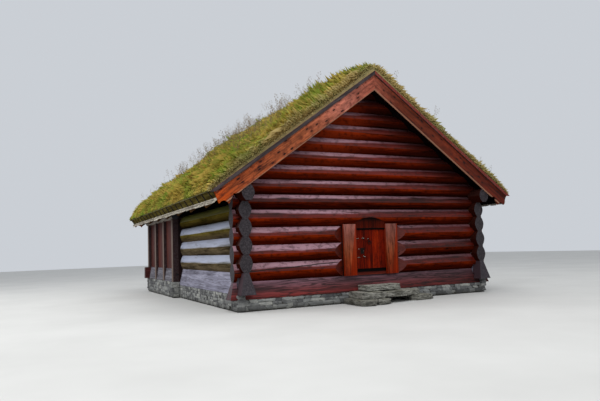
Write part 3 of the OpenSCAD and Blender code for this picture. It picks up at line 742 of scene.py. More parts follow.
@dataclass(frozen=True)
class Iron:
    """Forged iron: the hammer leaves it uneven, brown-black with rust in the hollows."""

    name: str = "forged iron"
    rubbed: float = 0.0

    def build(self) -> Material:
        """Builds the material.

        Returns:
            The material.
        """
        g = Graph(self.name)
        # Rust pits are 1 to 5 mm wide and are drawn 22 mm wide
        rust = g.add("TexNoise", {"Vector": g.coords, "Scale": 45, "Detail": 5, "Roughness": 0.7})
        colour = g.add("ValToRGB", (rust,), stops=((0.4, "0c0a08"), (0.55, "191411"), (0.7, "3a2418")))
        if self.rubbed:
            # Painted glint: the faces that look up are lighter
            bright = g.add("MapRange", (g.facing[2], 0.1, 0.5, 0.0, self.rubbed))
            g.layers.append((bright, "c9c2b6"))
        relief = g.add("Bump", {"Height": rust, "Distance": 0.001, "Strength": 0.7})
        rough = g.add("Math MULTIPLY_ADD", (rust, 0.3, 0.6))
        return g.finish(colour, rough, Normal=relief, Metallic=0.15, Specular_IOR_Level=0.1)


# ---------------------------------------------------------------- meshes


def linked(name: str, data: ID) -> Object:
    """Makes an object of a mesh, a lamp or a camera, linked to the scene.

    Args:
        name: Name of the object.
        data: What it shows.

    Returns:
        The object.
    """
    made = bpy.data.objects.new(name, data)
    bpy.context.scene.collection.objects.link(made)
    return made


def mesh_object(name: str, points: np.ndarray, faces: list, smooth: bool = False) -> Object:
    """Makes an object from points and faces, linked to the scene.

    Args:
        name: Name of the object.
        points: Array of n points.
        faces: Lists of point indices, turning to the left seen from outside.
        smooth: Whether the faces are shaded smooth.

    Returns:
        The object.
    """
    mesh = bpy.data.meshes.new(name)
    mesh.from_pydata(np.asarray(points, dtype=float).tolist(), [], faces)
    mesh.validate()
    mesh.polygons.foreach_set("use_smooth", [smooth] * len(mesh.polygons))
    return linked(name, mesh)


# Size of the table that smooth noise is read from, and the primes that spread the cells over it
TABLE = 4096
PRIMES = np.array([73856093, 19349663, 83492791])


def wobble(points: np.ndarray, step: float, seed: int) -> np.ndarray:
    """Smooth value noise at each point.

    Args:
        points: Array of n points of 2 or 3 numbers.
        step: Distance between the noise's own values.
        seed: Seed of the noise.

    Returns:
        Array of n values from -1 to 1.
    """
    table = np.random.default_rng(seed).uniform(-1, 1, TABLE)
    dims = points.shape[1]
    cell = np.floor(points / step).astype(np.int64)
    part = points / step - cell
    part = part * part * (3 - 2 * part)
    total = np.zeros(len(points))
    for corner in range(2 ** dims):
        offset = np.array([(corner >> d) & 1 for d in range(dims)])
        index = ((cell + offset) * PRIMES[:dims]).sum(axis=1) % TABLE
        weight = np.prod(np.where(offset == 1, part, 1 - part), axis=1)
        total += table[index] * weight
    return total


def loft(rings: np.ndarray) -> tuple[np.ndarray, list]:
    """Joins closed rings of equal count into one closed solid.

    Args:
        rings: Array of rings, points and coordinates; each ring turns left seen from the first end.

    Returns:
        The points and the faces.
    """
    count, size = rings.shape[:2]
    faces = [[i * size + j, i * size + (j + 1) % size, (i + 1) * size + (j + 1) % size, (i + 1) * size + j]
             for i in range(count - 1) for j in range(size)]
    faces.append(list(range(size))[::-1])
    faces.append(list(range((count - 1) * size, count * size)))
    return rings.reshape(-1, 3), faces


@dataclass
class Points:
    """Places of a repeated piece, each with a size, a turn and a variant."""

    place: np.ndarray
    size: np.ndarray
    turn: np.ndarray
    kind: np.ndarray


class ScatterTree:
    """Geometry Nodes tree that sets variants of a piece on points, and makes them one mesh."""

    INPUTS = {"Points": "NodeSocketGeometry", "Variants": "NodeSocketCollection", "Finish": "NodeSocketMaterial",
              "Size": "NodeSocketFloat", "Spread": "NodeSocketFloat", "Seed": "NodeSocketInt"}

    def __init__(self) -> None:
        """Builds the tree."""
        self.group = bpy.data.node_groups.new("set pieces on points", "GeometryNodeTree")
        face = self.group.interface
        self.sockets = {name: face.new_socket(name=name, in_out="INPUT", socket_type=kind).identifier
                        for name, kind in self.INPUTS.items()}
        face.new_socket(name="Pieces", in_out="OUTPUT", socket_type="NodeSocketGeometry")
        n = Nodes(self.group)
        given = n.add("NodeGroupInput").node.outputs
        pick = n.add("GeometryNodeCollectionInfo", {"Collection": given["Variants"], "Separate Children": True,
                                                    "Reset Children": True})
        size, turn, kind = (n.add("GeometryNodeInputNamedAttribute", {"Name": name}, "Attribute", data_type=data)
                            for name, data in (("size", "FLOAT_VECTOR"), ("turn", "FLOAT_VECTOR"), ("kind", "INT")))
        low = n.add("Math SUBTRACT", (1.0, given["Spread"]))
        high = n.add("Math ADD", (1.0, given["Spread"]))
        chance = n.add("FunctionNodeRandomValue", {2: low, 3: high, "Seed": given["Seed"]}, 1, data_type="FLOAT")
        factor = n.add("Math MULTIPLY", (chance, given["Size"]))
        scale = n.add("VectorMath SCALE", {0: size, "Scale": factor})
        rotation = n.add("FunctionNodeEulerToRotation", (turn,))
        instance = n.add("GeometryNodeInstanceOnPoints", {
            "Points": given["Points"], "Instance": pick, "Pick Instance": True, "Instance Index": kind,
            "Rotation": rotation, "Scale": scale})
        real = n.add("GeometryNodeRealizeInstances", (instance,))
        dressed = n.add("GeometryNodeSetMaterial", {"Geometry": real, "Material": given["Finish"]})
        n.add("NodeGroupOutput", (dressed,))

    def run(self, name: str, points: Points, variants: list[Object], finish: Material,
            seed: int, spread: float = 0.08) -> Object:
        """Sets the variants on the points and returns one plain mesh object.

        Args:
            name: Name of the new piece.
            points: Places, sizes, turns and kinds.
            variants: The pieces to repeat; they are used up.
            finish: Material of all the pieces.
            seed: Seed of the random sizes.
            spread: Share by which sizes vary.

        Returns:
            The new object.
        """
        cloud = bpy.data.meshes.new(name + "_points")
        cloud.vertices.add(len(points.place))
        cloud.vertices.foreach_set("co", points.place.astype(np.float32).ravel())
        for key, values in (("size", points.size), ("turn", points.turn)):
            cloud.attributes.new(key, "FLOAT_VECTOR", "POINT").data.foreach_set(
                "vector", values.astype(np.float32).ravel())
        cloud.attributes.new("kind", "INT", "POINT").data.foreach_set("value", points.kind.astype(np.int32))
        holder = linked(name + "_points", cloud)
        shelf = bpy.data.collections.new(name + "_variants")
        bpy.context.scene.collection.children.link(shelf)
        for variant in variants:
            for user in variant.users_collection:
                user.objects.unlink(variant)
            shelf.objects.link(variant)
        modifier = holder.modifiers.new("pieces", "NODES")
        modifier.node_group = self.group
        for key, value in (("Variants", shelf), ("Finish", finish), ("Size", 1.0), ("Spread", spread),
                           ("Seed", seed)):
            modifier[self.sockets[key]] = value
        graph = bpy.context.evaluated_depsgraph_get()
        mesh = bpy.data.meshes.new_from_object(holder.evaluated_get(graph))
        mesh.name = name
        made = linked(name, mesh)
        bpy.data.objects.remove(holder)
        for variant in variants:
            bpy.data.objects.remove(variant)
        bpy.data.collections.remove(shelf)
        return made


# ---------------------------------------------------------------- the house


@dataclass(frozen=True)
class House:
    """Lines that the dressing shares with the part, in metres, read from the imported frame."""

    ground: float
    front_wall_y: float
    sill_half: float
    half_span: float
    side_sill_z: float
    wall_end_y: float
    stave_face: float
    stave_base: float
    sill_top: float
    back_face: float
    roof_front: float
    roof_back: float
    ridge_z: float
    eaves_x: float
    pitch: float = math.radians(35.7)
    board_base: float = 0.0904
    capping_top: float = 0.309
    capping_t: float = 0.045
    eaves_board: float = 0.050
    plinth_set: float = 0.020
    post_w: float = 0.220
    post_d: float = 0.200
    plank_set: float = 0.100
    plank: float = 0.050
    side_bays: int = 3
    back_bays: int = 5

    @classmethod
    def from_frame(cls) -> "House":
        """Reads the lines from the boxes of the CAD nodes.

        Returns:
            The house's lines.
        """
        sill, side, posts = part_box("front_sill"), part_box("side_sills"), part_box("stave_posts")
        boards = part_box("roof_boards_left")
        half = (sill[1][1] - sill[0][1]) / 2
        return cls(ground=sill[0][2], front_wall_y=(sill[0][1] + sill[1][1]) / 2, sill_half=half,
                   half_span=side[1][0] - half, side_sill_z=side[0][2], wall_end_y=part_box("wall_end_posts")[0][1],
                   stave_face=posts[1][0], stave_base=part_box("plinth_back")[1][2],
                   sill_top=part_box("stave_planks")[0][2], back_face=posts[1][1], roof_front=boards[0][1],
                   roof_back=boards[1][1], ridge_z=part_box("rafters_left")[1][2], eaves_x=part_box("eaves_boards")[1][0])

    @property
    def eaves_u(self) -> float:
        """Length of the slope from the ridge to the outer face of the eaves boards."""
        return (self.eaves_x - self.capping_top * math.sin(self.pitch)) / math.cos(self.pitch)

    def slope(self, u: np.ndarray, w: np.ndarray) -> tuple[np.ndarray, np.ndarray]:
        """Point on the right slope.

        Args:
            u: Distance down the slope from the ridge.
            w: Height square to the slope, above the underside of the roof boards.

        Returns:
            x and z.
        """
        return (u * math.cos(self.pitch) + w * math.sin(self.pitch),
                self.ridge_z - u * math.sin(self.pitch) + w * math.cos(self.pitch))

    def height(self, x: float, w: float) -> float:
        """Height of the plane w above the roof boards' underside, at x from the centre line."""
        return self.ridge_z + w / math.cos(self.pitch) - abs(x) * math.tan(self.pitch)


@dataclass
class Turf:
    """Grown turf over both slopes, with long grass combed down the slope and stalks against the sky."""

    house: House
    tree: ScatterTree
    rise: float = 0.205
    sink: float = 0.03
    blades: int = 60000
    blade_w: float = 0.015
    stalks: int = 3600
    across: int = 36
    along: int = 150
    seed: int = 11
    top_limit: float = 7.05
    lock_share: float = 0.5
    lock_blades: int = 15
    gap: float = 0.002
    # How far the mat's edges are rounded, and the share of the blades that hang over them
    verge_round: float = 0.22
    eaves_round: float = 0.25
    verge_share: float = 0.05
    eaves_share: float = 0.07

    # Height and width of the mat's swells; bend and twist of the blades; lean of the stalks
    SWELLS = ((0.055, 1.25), (0.04, 0.4), (0.02, 0.15))
    BLADES = ((0.05, 0.0), (0.15, 0.6), (0.25, -0.5), (0.35, 0.3), (0.1, -0.9))
    STALKS = (0.06, 0.16, -0.1, 0.22)

    def __post_init__(self) -> None:
        """Works out the outline of the right slope, from the crown to the eaves board."""
        h, r = self.house, self.rise
        top = h.capping_top + r
        self.end_u = h.eaves_u - h.eaves_board
        marks = [(0.12, top + 0.2 * r), (0.3, top + 0.01), (0.55, top), (0.8, top - 0.01), (0.92, top - 0.2 * r),
                 (0.975, top - 0.45 * r), (1.0, h.capping_top + 0.25 * r)]
        line = [(0.0, h.height(0, top) + 0.25 * r), (0.8 * r, h.height(0, top) + 0.05 * r)]
        line += [h.slope(share * self.end_u, w) for share, w in marks]
        self.line = np.array(line)

    def surface(self, side: float, x: np.ndarray, y: np.ndarray) -> np.ndarray:
        """Points on top of the turf.

        Args:
            side: 1 for the right slope and -1 for the left.
            x: Distances from the centre line.
            y: Places along the ridge.

        Returns:
            Array of points.
        """
        h = self.house
        end = self.line[-1, 0]
        flat = np.stack([side * x, y], axis=1)
        swell = sum(high * wobble(flat, wide, self.seed + number) for number, (high, wide) in enumerate(self.SWELLS))
        near = np.clip(np.minimum(y - h.roof_front, h.roof_back - y) / self.verge_round, 0, 1)
        near = np.sqrt(near * (2 - near))
        edge = np.clip((end - x) / self.eaves_round, 0, 1)
        floor = h.height(0, h.capping_top) - x * math.tan(h.pitch)
        z = np.interp(x, self.line[:, 0], self.line[:, 1]) - self.sink + swell * np.minimum(edge, near)
        z = floor + (z - floor) * (0.35 + 0.65 * near)
        return np.stack([side * x, y, z], axis=1)

    def mat(self, finish: Material) -> Object:
        """Builds the turf's closed body on both slopes.

        Args:
            finish: Material of the turf.

        Returns:
            The object.
        """
        h = self.house
        x = np.linspace(0, self.line[-1, 0] - self.gap, self.across)
        foot_x, foot_z = h.slope(self.end_u - self.gap, h.board_base + self.gap)
        base = h.height(0, h.board_base + self.gap)
        rings = []
        for y in np.linspace(h.roof_front + self.gap, h.roof_back - self.gap, self.along):
            row = np.full(self.across, y)
            left = self.surface(-1, x, row)
            right = self.surface(1, x, row)
            rings.append(np.concatenate([left[::-1], right[1:],
                                         [[foot_x, y, foot_z], [0, y, base], [-foot_x, y, foot_z]]]))
        points, faces = loft(np.array(rings))
        made = mesh_object("turf_mat", points, [f[::-1] for f in faces], smooth=True)
        made.data.materials.append(finish)
        return made

    def blade_kinds(self) -> list[Object]:
        """Makes bent blades of unit length, each with an attribute that runs from foot to tip.

        Returns:
            The variants.
        """
        kinds = []
        for bend, twist in self.BLADES:
            half = 0.5 * np.array([math.cos(twist), math.sin(twist) * 0.3, 0.0])
            mid = np.array([twist * 0.4, -bend * 0.32, 0.55])
            tip = np.array([twist * 1.2, -bend, 1 - bend * 0.4])
            outline = np.array([-half, half, mid + half * 0.8, mid - half * 0.8, tip])
            made = mesh_object(f"blade_{len(kinds)}", outline, [[0, 1, 2, 3], [3, 2, 4]])
            made.data.attributes.new("blade", "FLOAT", "POINT").data.foreach_set("value", [0, 0, 0.55, 0.55, 1.0])
            kinds.append(made)
        return kinds

    def stalk_kinds(self) -> list[Object]:
        """Makes thin stalks of unit length with a loose seed head.

        Returns:
            The variants.
        """
        kinds = []
        for number, lean in enumerate(self.STALKS):
            rng = np.random.default_rng(500 + number)
            # Flat strips: x and z of the foot, x and z of the tip, half the width
            strips = [(0, 0, lean * 0.3, 0.5, 0.0036), (lean * 0.3, 0.5, lean, 0.96, 0.003)]
            for step in range(9):
                at = 0.66 + 0.037 * step
                out = rng.uniform(-1, 1) * 0.11 * (1.15 - (at - 0.66) * 2)
                strips.append((lean * at + out, at + 0.02, lean * at + out * 1.15, at + 0.052, 0.013))
            points = np.array([[(x - w, 0, z), (x + w, 0, z), (end + w * 0.6, 0, top), (end - w * 0.6, 0, top)]
                               for x, z, end, top, w in strips]).reshape(-1, 3)
            made = mesh_object(f"stalk_{number}", points, np.arange(len(points)).reshape(-1, 4).tolist())
            made.data.attributes.new("blade", "FLOAT", "POINT").data.foreach_set("value", points[:, 2])
            kinds.append(made)
        return kinds

    def grass(self, name: str, side: float, part: tuple[float, float], finish: Material,
              count: int) -> Object:
        """Covers part of a slope with grass.

        Args:
            name: Name of the piece.
            side: 1 for the right slope and -1 for the left.
            part: Share of the ridge's length from and to.
            finish: Material of the blades.
            count: Number of blades.

        Returns:
            The object.
        """
        h = self.house
        rng = np.random.default_rng(self.seed + int(10 * part[0]) + (5 if side > 0 else 0))
        length = h.roof_back - h.roof_front
        end = self.line[-1, 0]
        y = h.roof_front + length * rng.uniform(part[0], part[1], count)
        x = end * rng.uniform(0, 1, count) ** 0.9
        # Some blades hang over the eaves and over the gable's edge
        eaves = rng.uniform(0, 1, count) < self.eaves_share
        x[eaves] = end * rng.uniform(0.975, 0.995, eaves.sum())
        gable = rng.uniform(0, 1, count) < self.verge_share
        verge = h.roof_front if part[0] == 0 else h.roof_back
        inward = 1 if part[0] == 0 else -1
        y[gable] = verge + inward * rng.uniform(0.0, 0.06, gable.sum())
        y = np.clip(y, h.roof_front + 0.004, h.roof_back - 0.004)
        place = self.surface(side, x, y)
        # Length: tufts 0.3 m wide, beds 1.1 m wide and clumps between them, shorter near every edge
        flat = np.stack([side * x, y], axis=1)
        tuft = 0.5 + 0.5 * wobble(flat, 0.3, 77)
        bed = 0.5 + 0.5 * wobble(flat, 1.1, 78)
        clump = np.clip(wobble(flat, 0.42, 81), 0, 1)
        tall = 0.15 + 0.12 * tuft + 0.34 * bed ** 2 * rng.uniform(0.2, 1, count) + 0.16 * clump
        tall *= rng.uniform(0.6, 1.15, count)
        verge_gap = np.minimum(y - h.roof_front, h.roof_back - y)
        tall *= np.clip(0.4 + x, 0.4, 1) * np.clip(0.4 + (end - x) / 0.5, 0.4, 1) * np.clip(0.55 + verge_gap, 0.55, 1)
        # Heading and lean: combed down the slope and towards the front
        head = wobble(flat, 0.9, 79) * 0.4 + wobble(flat, 0.3, 80) * 0.22 + rng.normal(0, 0.12, count)
        down = np.stack([side * np.cos(head), -0.45 + np.sin(head)], axis=1)
        lean = 1.14 + 0.2 * (1 - tuft) - 0.35 * clump + rng.normal(0, 0.16, count)
        lean *= np.clip(0.35 + x / 0.8, 0.35, 1)
        lean[eaves] = rng.uniform(1.2, 2.1, eaves.sum())
        tall[eaves] = rng.uniform(0.07, 0.15, eaves.sum())
        down[eaves] = np.stack([side * np.ones(eaves.sum()), rng.normal(0, 0.25, eaves.sum())], axis=1)
        front = gable & ~eaves
        lean[front] = rng.uniform(0.9, 1.9, front.sum())
        tall[front] = rng.uniform(0.08, 0.17, front.sum())
        down[front] = np.stack([side * rng.uniform(0, 0.9, front.sum()), -inward * np.ones(front.sum())], axis=1)
        turn = np.zeros((count, 3))
        turn[:, 0] = np.clip(lean, 0.03, 2.6)
        turn[:, 2] = np.arctan2(down[:, 0], -down[:, 1])
        # Part of the blades is gathered into locks, and none reaches above the top limit
        locked = np.flatnonzero((rng.uniform(0, 1, count) < self.lock_share) & ~eaves & ~gable)
        place[locked], turn[locked, 0], turn[locked, 2], tall[locked] = self.locks(side, part, len(locked), rng)
        room = (self.top_limit - place[:, 2]) / np.cos(np.minimum(turn[:, 0], 1.3))
        tall = np.minimum(tall, np.maximum(0.06, room))
        place[:, 2] -= 0.012
        wide = self.blade_w * rng.uniform(0.6, 1.4, count)
        kinds = rng.integers(0, len(self.BLADES), count)
        points = Points(place, np.stack([wide, tall, tall], axis=1), turn, kinds)
        return self.tree.run(name, points, self.blade_kinds(), finish, self.seed)

    def locks(self, side: float, part: tuple[float, float], count: int,
              rng: np.random.Generator) -> tuple[np.ndarray, np.ndarray, np.ndarray, np.ndarray]:
        """Gathers blades into locks whose tips meet further down the slope.

        Args:
            side: 1 for the right slope and -1 for the left.
            part: Share of the ridge's length from and to.
            count: Number of blades.
            rng: Source of the random places.

        Returns:
            Place, lean, heading and length of each blade.
        """
        h = self.house
        number = count // self.lock_blades
        end = self.line[-1, 0]
        x = end * rng.uniform(0.02, 0.9, number)
        y = h.roof_front + (h.roof_back - h.roof_front) * rng.uniform(part[0], part[1], number)
        y = np.clip(y, h.roof_front + 0.2, h.roof_back - 0.2)
        flat = np.stack([side * x, y], axis=1)
        reach = rng.uniform(0.3, 0.6, number) * np.clip(0.4 + (end - x) / 1.3, 0.4, 1) * np.clip(0.5 + x, 0.5, 1)
        reach *= np.clip(0.4 + (y - h.roof_front) / 1.2, 0.4, 1)
        lift = np.clip(rng.normal(0.34, 0.1, number) + 0.6 * np.clip(wobble(flat, 0.6, 83) - 0.2, 0, 1), 0.15, 1.0)
        drift = 0.4 * wobble(flat, 0.9, 79) - 0.3 + rng.normal(0, 0.1, number)
        slope = np.stack([side * np.cos(drift) * math.cos(h.pitch), np.sin(drift),
                          -np.cos(drift) * math.sin(h.pitch)], axis=1)
        normal = np.array([side * math.sin(h.pitch), 0.0, math.cos(h.pitch)])
        tip = self.surface(side, x, y) + reach[:, None] * (np.cos(lift)[:, None] * slope
                                                           + np.sin(lift)[:, None] * normal)
        tip[:, 2] = np.minimum(tip[:, 2], self.top_limit - 0.02)
        owner = rng.integers(0, number, count)
        foot_x = np.clip(x[owner] + rng.normal(0, 0.12, count), 0.0, end * 0.97)
        foot_y = np.clip(y[owner] + rng.normal(0, 0.08, count), h.roof_front + 0.02, h.roof_back - 0.02)
        foot = self.surface(side, foot_x, foot_y)
        way = tip[owner] + rng.normal(0, 0.06, (count, 3)) - foot
        length = np.linalg.norm(way, axis=1)
        lean = np.arccos(np.clip(way[:, 2] / length, -1, 1))
        return foot, lean, np.arctan2(way[:, 0], -way[:, 1]), length * rng.uniform(0.55, 1.05, count)

    def wisps(self, finish: Material) -> Object:
        """Sets tall stalks in loose groups, most of them along the ridge and on the left slope.

        Args:
            finish: Material of the stalks.

        Returns:
            The object.
        """
        h = self.house
        rng = np.random.default_rng(self.seed + 40)
        count = self.stalks
        y = rng.uniform(h.roof_front + 0.3, h.roof_back - 0.3, count)
        x = self.line[-1, 0] * rng.beta(1.1, 1.8, count)
        side = np.where(rng.uniform(0, 1, count) < 0.72, -1.0, 1.0)
        spots = np.stack([x * side, y], axis=1)
        keep = wobble(spots, 0.8, 91) + 0.6 * wobble(spots, 0.25, 92) > 0.05
        x, y, side = x[keep], y[keep], side[keep]
        place = np.concatenate([self.surface(s, x[side == s], y[side == s]) for s in (-1.0, 1.0)])
        count = len(place)
        tall = 0.3 + 0.62 * rng.uniform(0, 1, count) ** 1.6
        tall = np.minimum(tall, self.top_limit - place[:, 2])
        turn = np.stack([rng.normal(0, 0.2, count), rng.normal(0, 0.2, count), rng.uniform(0, 6.28, count)], axis=1)
        kinds = rng.integers(0, len(self.STALKS), count)
        points = Points(place, np.stack([tall, tall, tall], axis=1), turn, kinds)
        return self.tree.run("grass_stalks", points, self.stalk_kinds(), finish, self.seed, 0.0)

    def build(self, soil: Material, grass: Material, straw: Material) -> None:
        """Builds the mat and the grass and puts them in place of the plain turf.

        Args:
            soil: Material of the mat.
            grass: Material of the blades.
            straw: Material of the stalks.
        """
        mat = self.mat(soil)
        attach(mat, "house")
        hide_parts("turf_left", "turf_right")
        count = self.blades
        pieces = [self.wisps(straw)]
        for name, side, part, share in (("grass_left_front", -1, (0, 0.5), 1.0),
                                        ("grass_left_back", -1, (0.5, 1), 1.0),
                                        ("grass_right_front", 1, (0, 0.5), 0.8),
                                        ("grass_right_back", 1, (0.5, 1), 0.8)):
            pieces.append(self.grass(name, side, part, grass, int(count * share)))
        for piece in pieces:
            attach(piece, "house")


@dataclass
class Rubble:
    """Dry stones on the faces of the foundation, in uneven courses."""

    house: House
    tree: ScatterTree
    seed: int = 5
    courses: tuple[float, float] = (0.1, 0.08)
    lengths: tuple[float, float] = (0.25, 0.15)
    kinds: int = 9
    foot: float = 0.035
    depth: float = 0.22

    # Lengths of the stones as shares of the usual one, and how often each comes
    SHARES = (0.5, 0.8, 1.0, 1.3, 1.7)
    CHANCES = (0.2, 0.25, 0.25, 0.2, 0.1)

    def stones(self) -> list[Object]:
        """Makes rough stones of unit size.

        Returns:
            The variants.
        """
        kinds = []
        for number in range(self.kinds):
            rng = np.random.default_rng(100 + number)
            # A cube of 3 by 3 faces a side, rounded, leaning and uneven
            n = 4
            index: dict[tuple[int, int, int], int] = {}
            faces = []
            for a in range(n - 1):
                for b in range(n - 1):
                    for fixed, flip in ((0, True), (n - 1, False)):
                        quads = ([(fixed, a, b), (fixed, a + 1, b), (fixed, a + 1, b + 1), (fixed, a, b + 1)],
                                 [(b, fixed, a), (b, fixed, a + 1), (b + 1, fixed, a + 1), (b + 1, fixed, a)],
                                 [(a, b, fixed), (a + 1, b, fixed), (a + 1, b + 1, fixed), (a, b + 1, fixed)])
                        for quad in quads:
                            ids = [index.setdefault(spot, len(index)) for spot in quad]
                            faces.append(ids[::-1] if flip else ids)
            at = np.linspace(-0.5, 0.5, n)[np.array(list(index))]
            reach = np.linalg.norm(at, axis=1, keepdims=True)
            at = at * (1 - 0.16 * (reach - 0.5) / 0.366)
            at += rng.uniform(-0.05, 0.05, at.shape)
            at[:, 0] += 0.22 * at[:, 2] * rng.uniform(-1, 1)
            at[:, 2] += 0.12 * at[:, 0] * rng.uniform(-1, 1)
            kinds.append(mesh_object(f"stone_{number}", at, faces))
        return kinds

    def face(self, start: tuple[float, float], end: tuple[float, float], high: float, large: bool,
             rng: np.random.Generator) -> list[tuple[float, ...]]:
        """Lays stones on one face.

        Args:
            start: x and y where the face begins, seen from outside on the left.
            end: x and y where it ends.
            high: Its top.
            large: Whether the face has the large stones.
            rng: Source of the random sizes.

        Returns:
            For each stone x, y, z, length, depth, height, tilt and turn.
        """
        run = np.array(end) - np.array(start)
        total = float(np.linalg.norm(run))
        way = run / total
        out = np.array([way[1], -way[0]])
        heading = math.atan2(way[1], way[0])
        laid = []
        course, length = (self.courses[0], self.lengths[0]) if large else (self.courses[1], self.lengths[1])
        rows = max(2, round((high - self.foot) / course))
        marks = np.linspace(self.foot, high - 0.012, rows + 1)
        marks[1:-1] += rng.uniform(-0.02, 0.02, rows - 1)
        for row in range(rows):
            at = -0.1 * rng.uniform(0, 1)
            while at < total:
                size = length * rng.choice(self.SHARES, p=self.CHANCES)
                size *= rng.uniform(0.85, 1.15)
                size = min(size, total - at + 0.05)
                tall = marks[row + 1] - marks[row]
                if size > 0.05:
                    drift = rng.uniform(-0.018, 0.012)
                    centre = np.array(start) + way * (at + size / 2) + out * (drift - self.depth / 2 + 0.03)
                    laid.append((centre[0], centre[1], (marks[row] + marks[row + 1]) / 2, size * 1.16, self.depth,
                                 tall * rng.uniform(1.0, 1.25), rng.uniform(-0.07, 0.07), heading))
                at += size
        return laid

    def build(self, finish: Material) -> None:
        """Lays all the faces.

        Args:
            finish: Material of the stones.
        """
        h = self.house
        rng = np.random.default_rng(self.seed)
        fx = h.half_span + h.sill_half - h.plinth_set
        fy = h.front_wall_y - h.sill_half + h.plinth_set
        sx = h.stave_face - h.plinth_set
        mid = h.wall_end_y
        by = h.back_face + h.plinth_set
        laid = self.face((-fx, fy), (fx, fy), h.ground, True, rng)
        for start, end, high, large in (
                ((fx, fy), (fx, mid), h.side_sill_z, False), ((-fx, mid), (-fx, fy), h.side_sill_z, False),
                ((fx, mid), (sx, mid), h.stave_base, True), ((-sx, mid), (-fx, mid), h.stave_base, True),
                ((sx, mid), (sx, by), h.stave_base, True), ((-sx, by), (-sx, mid), h.stave_base, True),
                ((sx, by), (-sx, by), h.stave_base, True)):
            laid += self.face(start, end, high, large, rng)
        rows = np.array(laid)
        count = len(rows)
        turn = np.stack([np.zeros(count), rows[:, 6], rows[:, 7]], axis=1)
        points = Points(rows[:, :3], rows[:, 3:6], turn, rng.integers(0, self.kinds, count))
        piece = self.tree.run("foundation_stones", points, self.stones(), finish, self.seed, 0.04)
        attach(piece, "house")


@dataclass
class Boards:
    """Planks of the stave walls, each a board of its own with eased edges."""

    house: House
    seed: int = 3
    width: float = 0.29
    ease: float = 0.008
    gap: float = 0.0015
    uneven: float = 0.006

    def board(self, low: float, high: float, foot: float, head: tuple[float, float], back: float, front: float,
              along: Axis) -> tuple[list, list]:
        """One upright board.

        Args:
            low: Lower edge along the wall.
            high: Upper edge along the wall.
            foot: Height of its foot.
            head: Heights of its head at the two edges.
            back: Place of its inner face across the wall.
            front: Place of its outer face.
            along: Axis of the wall.

        Returns:
            Points and faces.
        """
        sign = 1 if front > back else -1
        e = self.ease
        ring = [(low, back), (high, back), (high, front - sign * e), (high - e, front), (low + e, front),
                (low, front - sign * e)]
        heads = np.interp([p[0] for p in ring], [low, high], head)
        points = []
        for level in range(2):
            for (a, b), top in zip(ring, heads):
                z = foot if level == 0 else top
                points.append([a, b, z] if along is Axis.X else [b, a, z])
        n = len(ring)
        faces = [[i, (i + 1) % n, n + (i + 1) % n, n + i] for i in range(n)]
        faces += [list(range(n))[::-1], list(range(n, 2 * n))]
        turn = sign * (1 if along is Axis.X else -1)
        return points, faces if turn > 0 else [f[::-1] for f in faces]

    def wall(self, start: float, end: float, foot: float, back: float, front: float, along: Axis,
             head: Callable[[float], float], rng: np.random.Generator) -> list[tuple[list, list]]:
        """Fills a bay with boards.

        Args:
            start: First end of the bay.
            end: Other end.
            foot: Height of the boards' feet.
            back: Place of the inner face.
            front: Place of the outer face.
            along: Axis of the wall.
            head: Function from a place along the wall to the height there.
            rng: Source of the random widths.

        Returns:
            The boards.
        """
        count = max(1, round((end - start) / self.width))
        marks = np.linspace(start, end, count + 1)
        marks[1:-1] += rng.uniform(-0.03, 0.03, count - 1)
        made = []
        for a, b in zip(marks[:-1], marks[1:]):
            inset = rng.uniform(0, self.uneven)
            made.append(self.board(a + self.gap, b - self.gap, foot, (head(a), head(b)), back,
                                   front - inset if front > back else front + inset, along))
        return made

    @staticmethod
    def join(name: str, parts: list[tuple[list, list]], finish: Material) -> Object:
        """Makes one object of many boards.

        Args:
            name: Name of the object.
            parts: Points and faces of each board.
            finish: Material of the boards.

        Returns:
            The object.
        """
        points, faces = [], []
        for p, f in parts:
            base = len(points)
            points += p
            faces += [[base + i for i in face] for face in f]
        made = mesh_object(name, np.array(points), faces)
        made.data.materials.append(finish)
        return made

    def build(self, finish: Material) -> None:
        """Builds the planks of the side and back walls in place of the plain ones.

        Args:
            finish: Material of the planks.
        """
        h = self.house
        rng = np.random.default_rng(self.seed)
        foot = h.sill_top
        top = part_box("stave_planks")[1][2]
        bay = (h.back_face - h.wall_end_y - h.post_w) / h.side_bays
        parts = []
        for side in (1, -1):
            outer = side * (h.stave_face - h.plank_set)
            inner = outer - side * h.plank
            for i in range(h.side_bays):
                start = h.wall_end_y + i * bay + h.post_w
                end = h.wall_end_y + (i + 1) * bay
                parts += self.wall(start, end, foot, inner, outer, Axis.Y, lambda v: top, rng)
        piece = self.join("stave_boards", parts, finish)
        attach(piece, "house")
        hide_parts("stave_planks")

        low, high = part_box("back_planks")
        tie_low, tie_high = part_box("back_tie_beam")
        parts = []
        back_bay = (2 * h.stave_face - h.post_w) / h.back_bays
        for i in range(h.back_bays):
            start = -h.stave_face + i * back_bay + (h.post_d if i == 0 else h.post_w)
            end = h.stave_face - h.post_d if i == h.back_bays - 1 else -h.stave_face + (i + 1) * back_bay
            parts += self.wall(start, end, foot, low[1], high[1], Axis.X, lambda v: tie_low[2], rng)
        for start, end in ((low[0], 0.0), (0.0, high[0])):
            parts += self.wall(start, end, tie_high[2], low[1], high[1], Axis.X,
                               lambda v: h.height(v, -0.0005), rng)
        piece = self.join("back_boards", parts, finish)
        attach(piece, "house")
        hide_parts("back_planks")


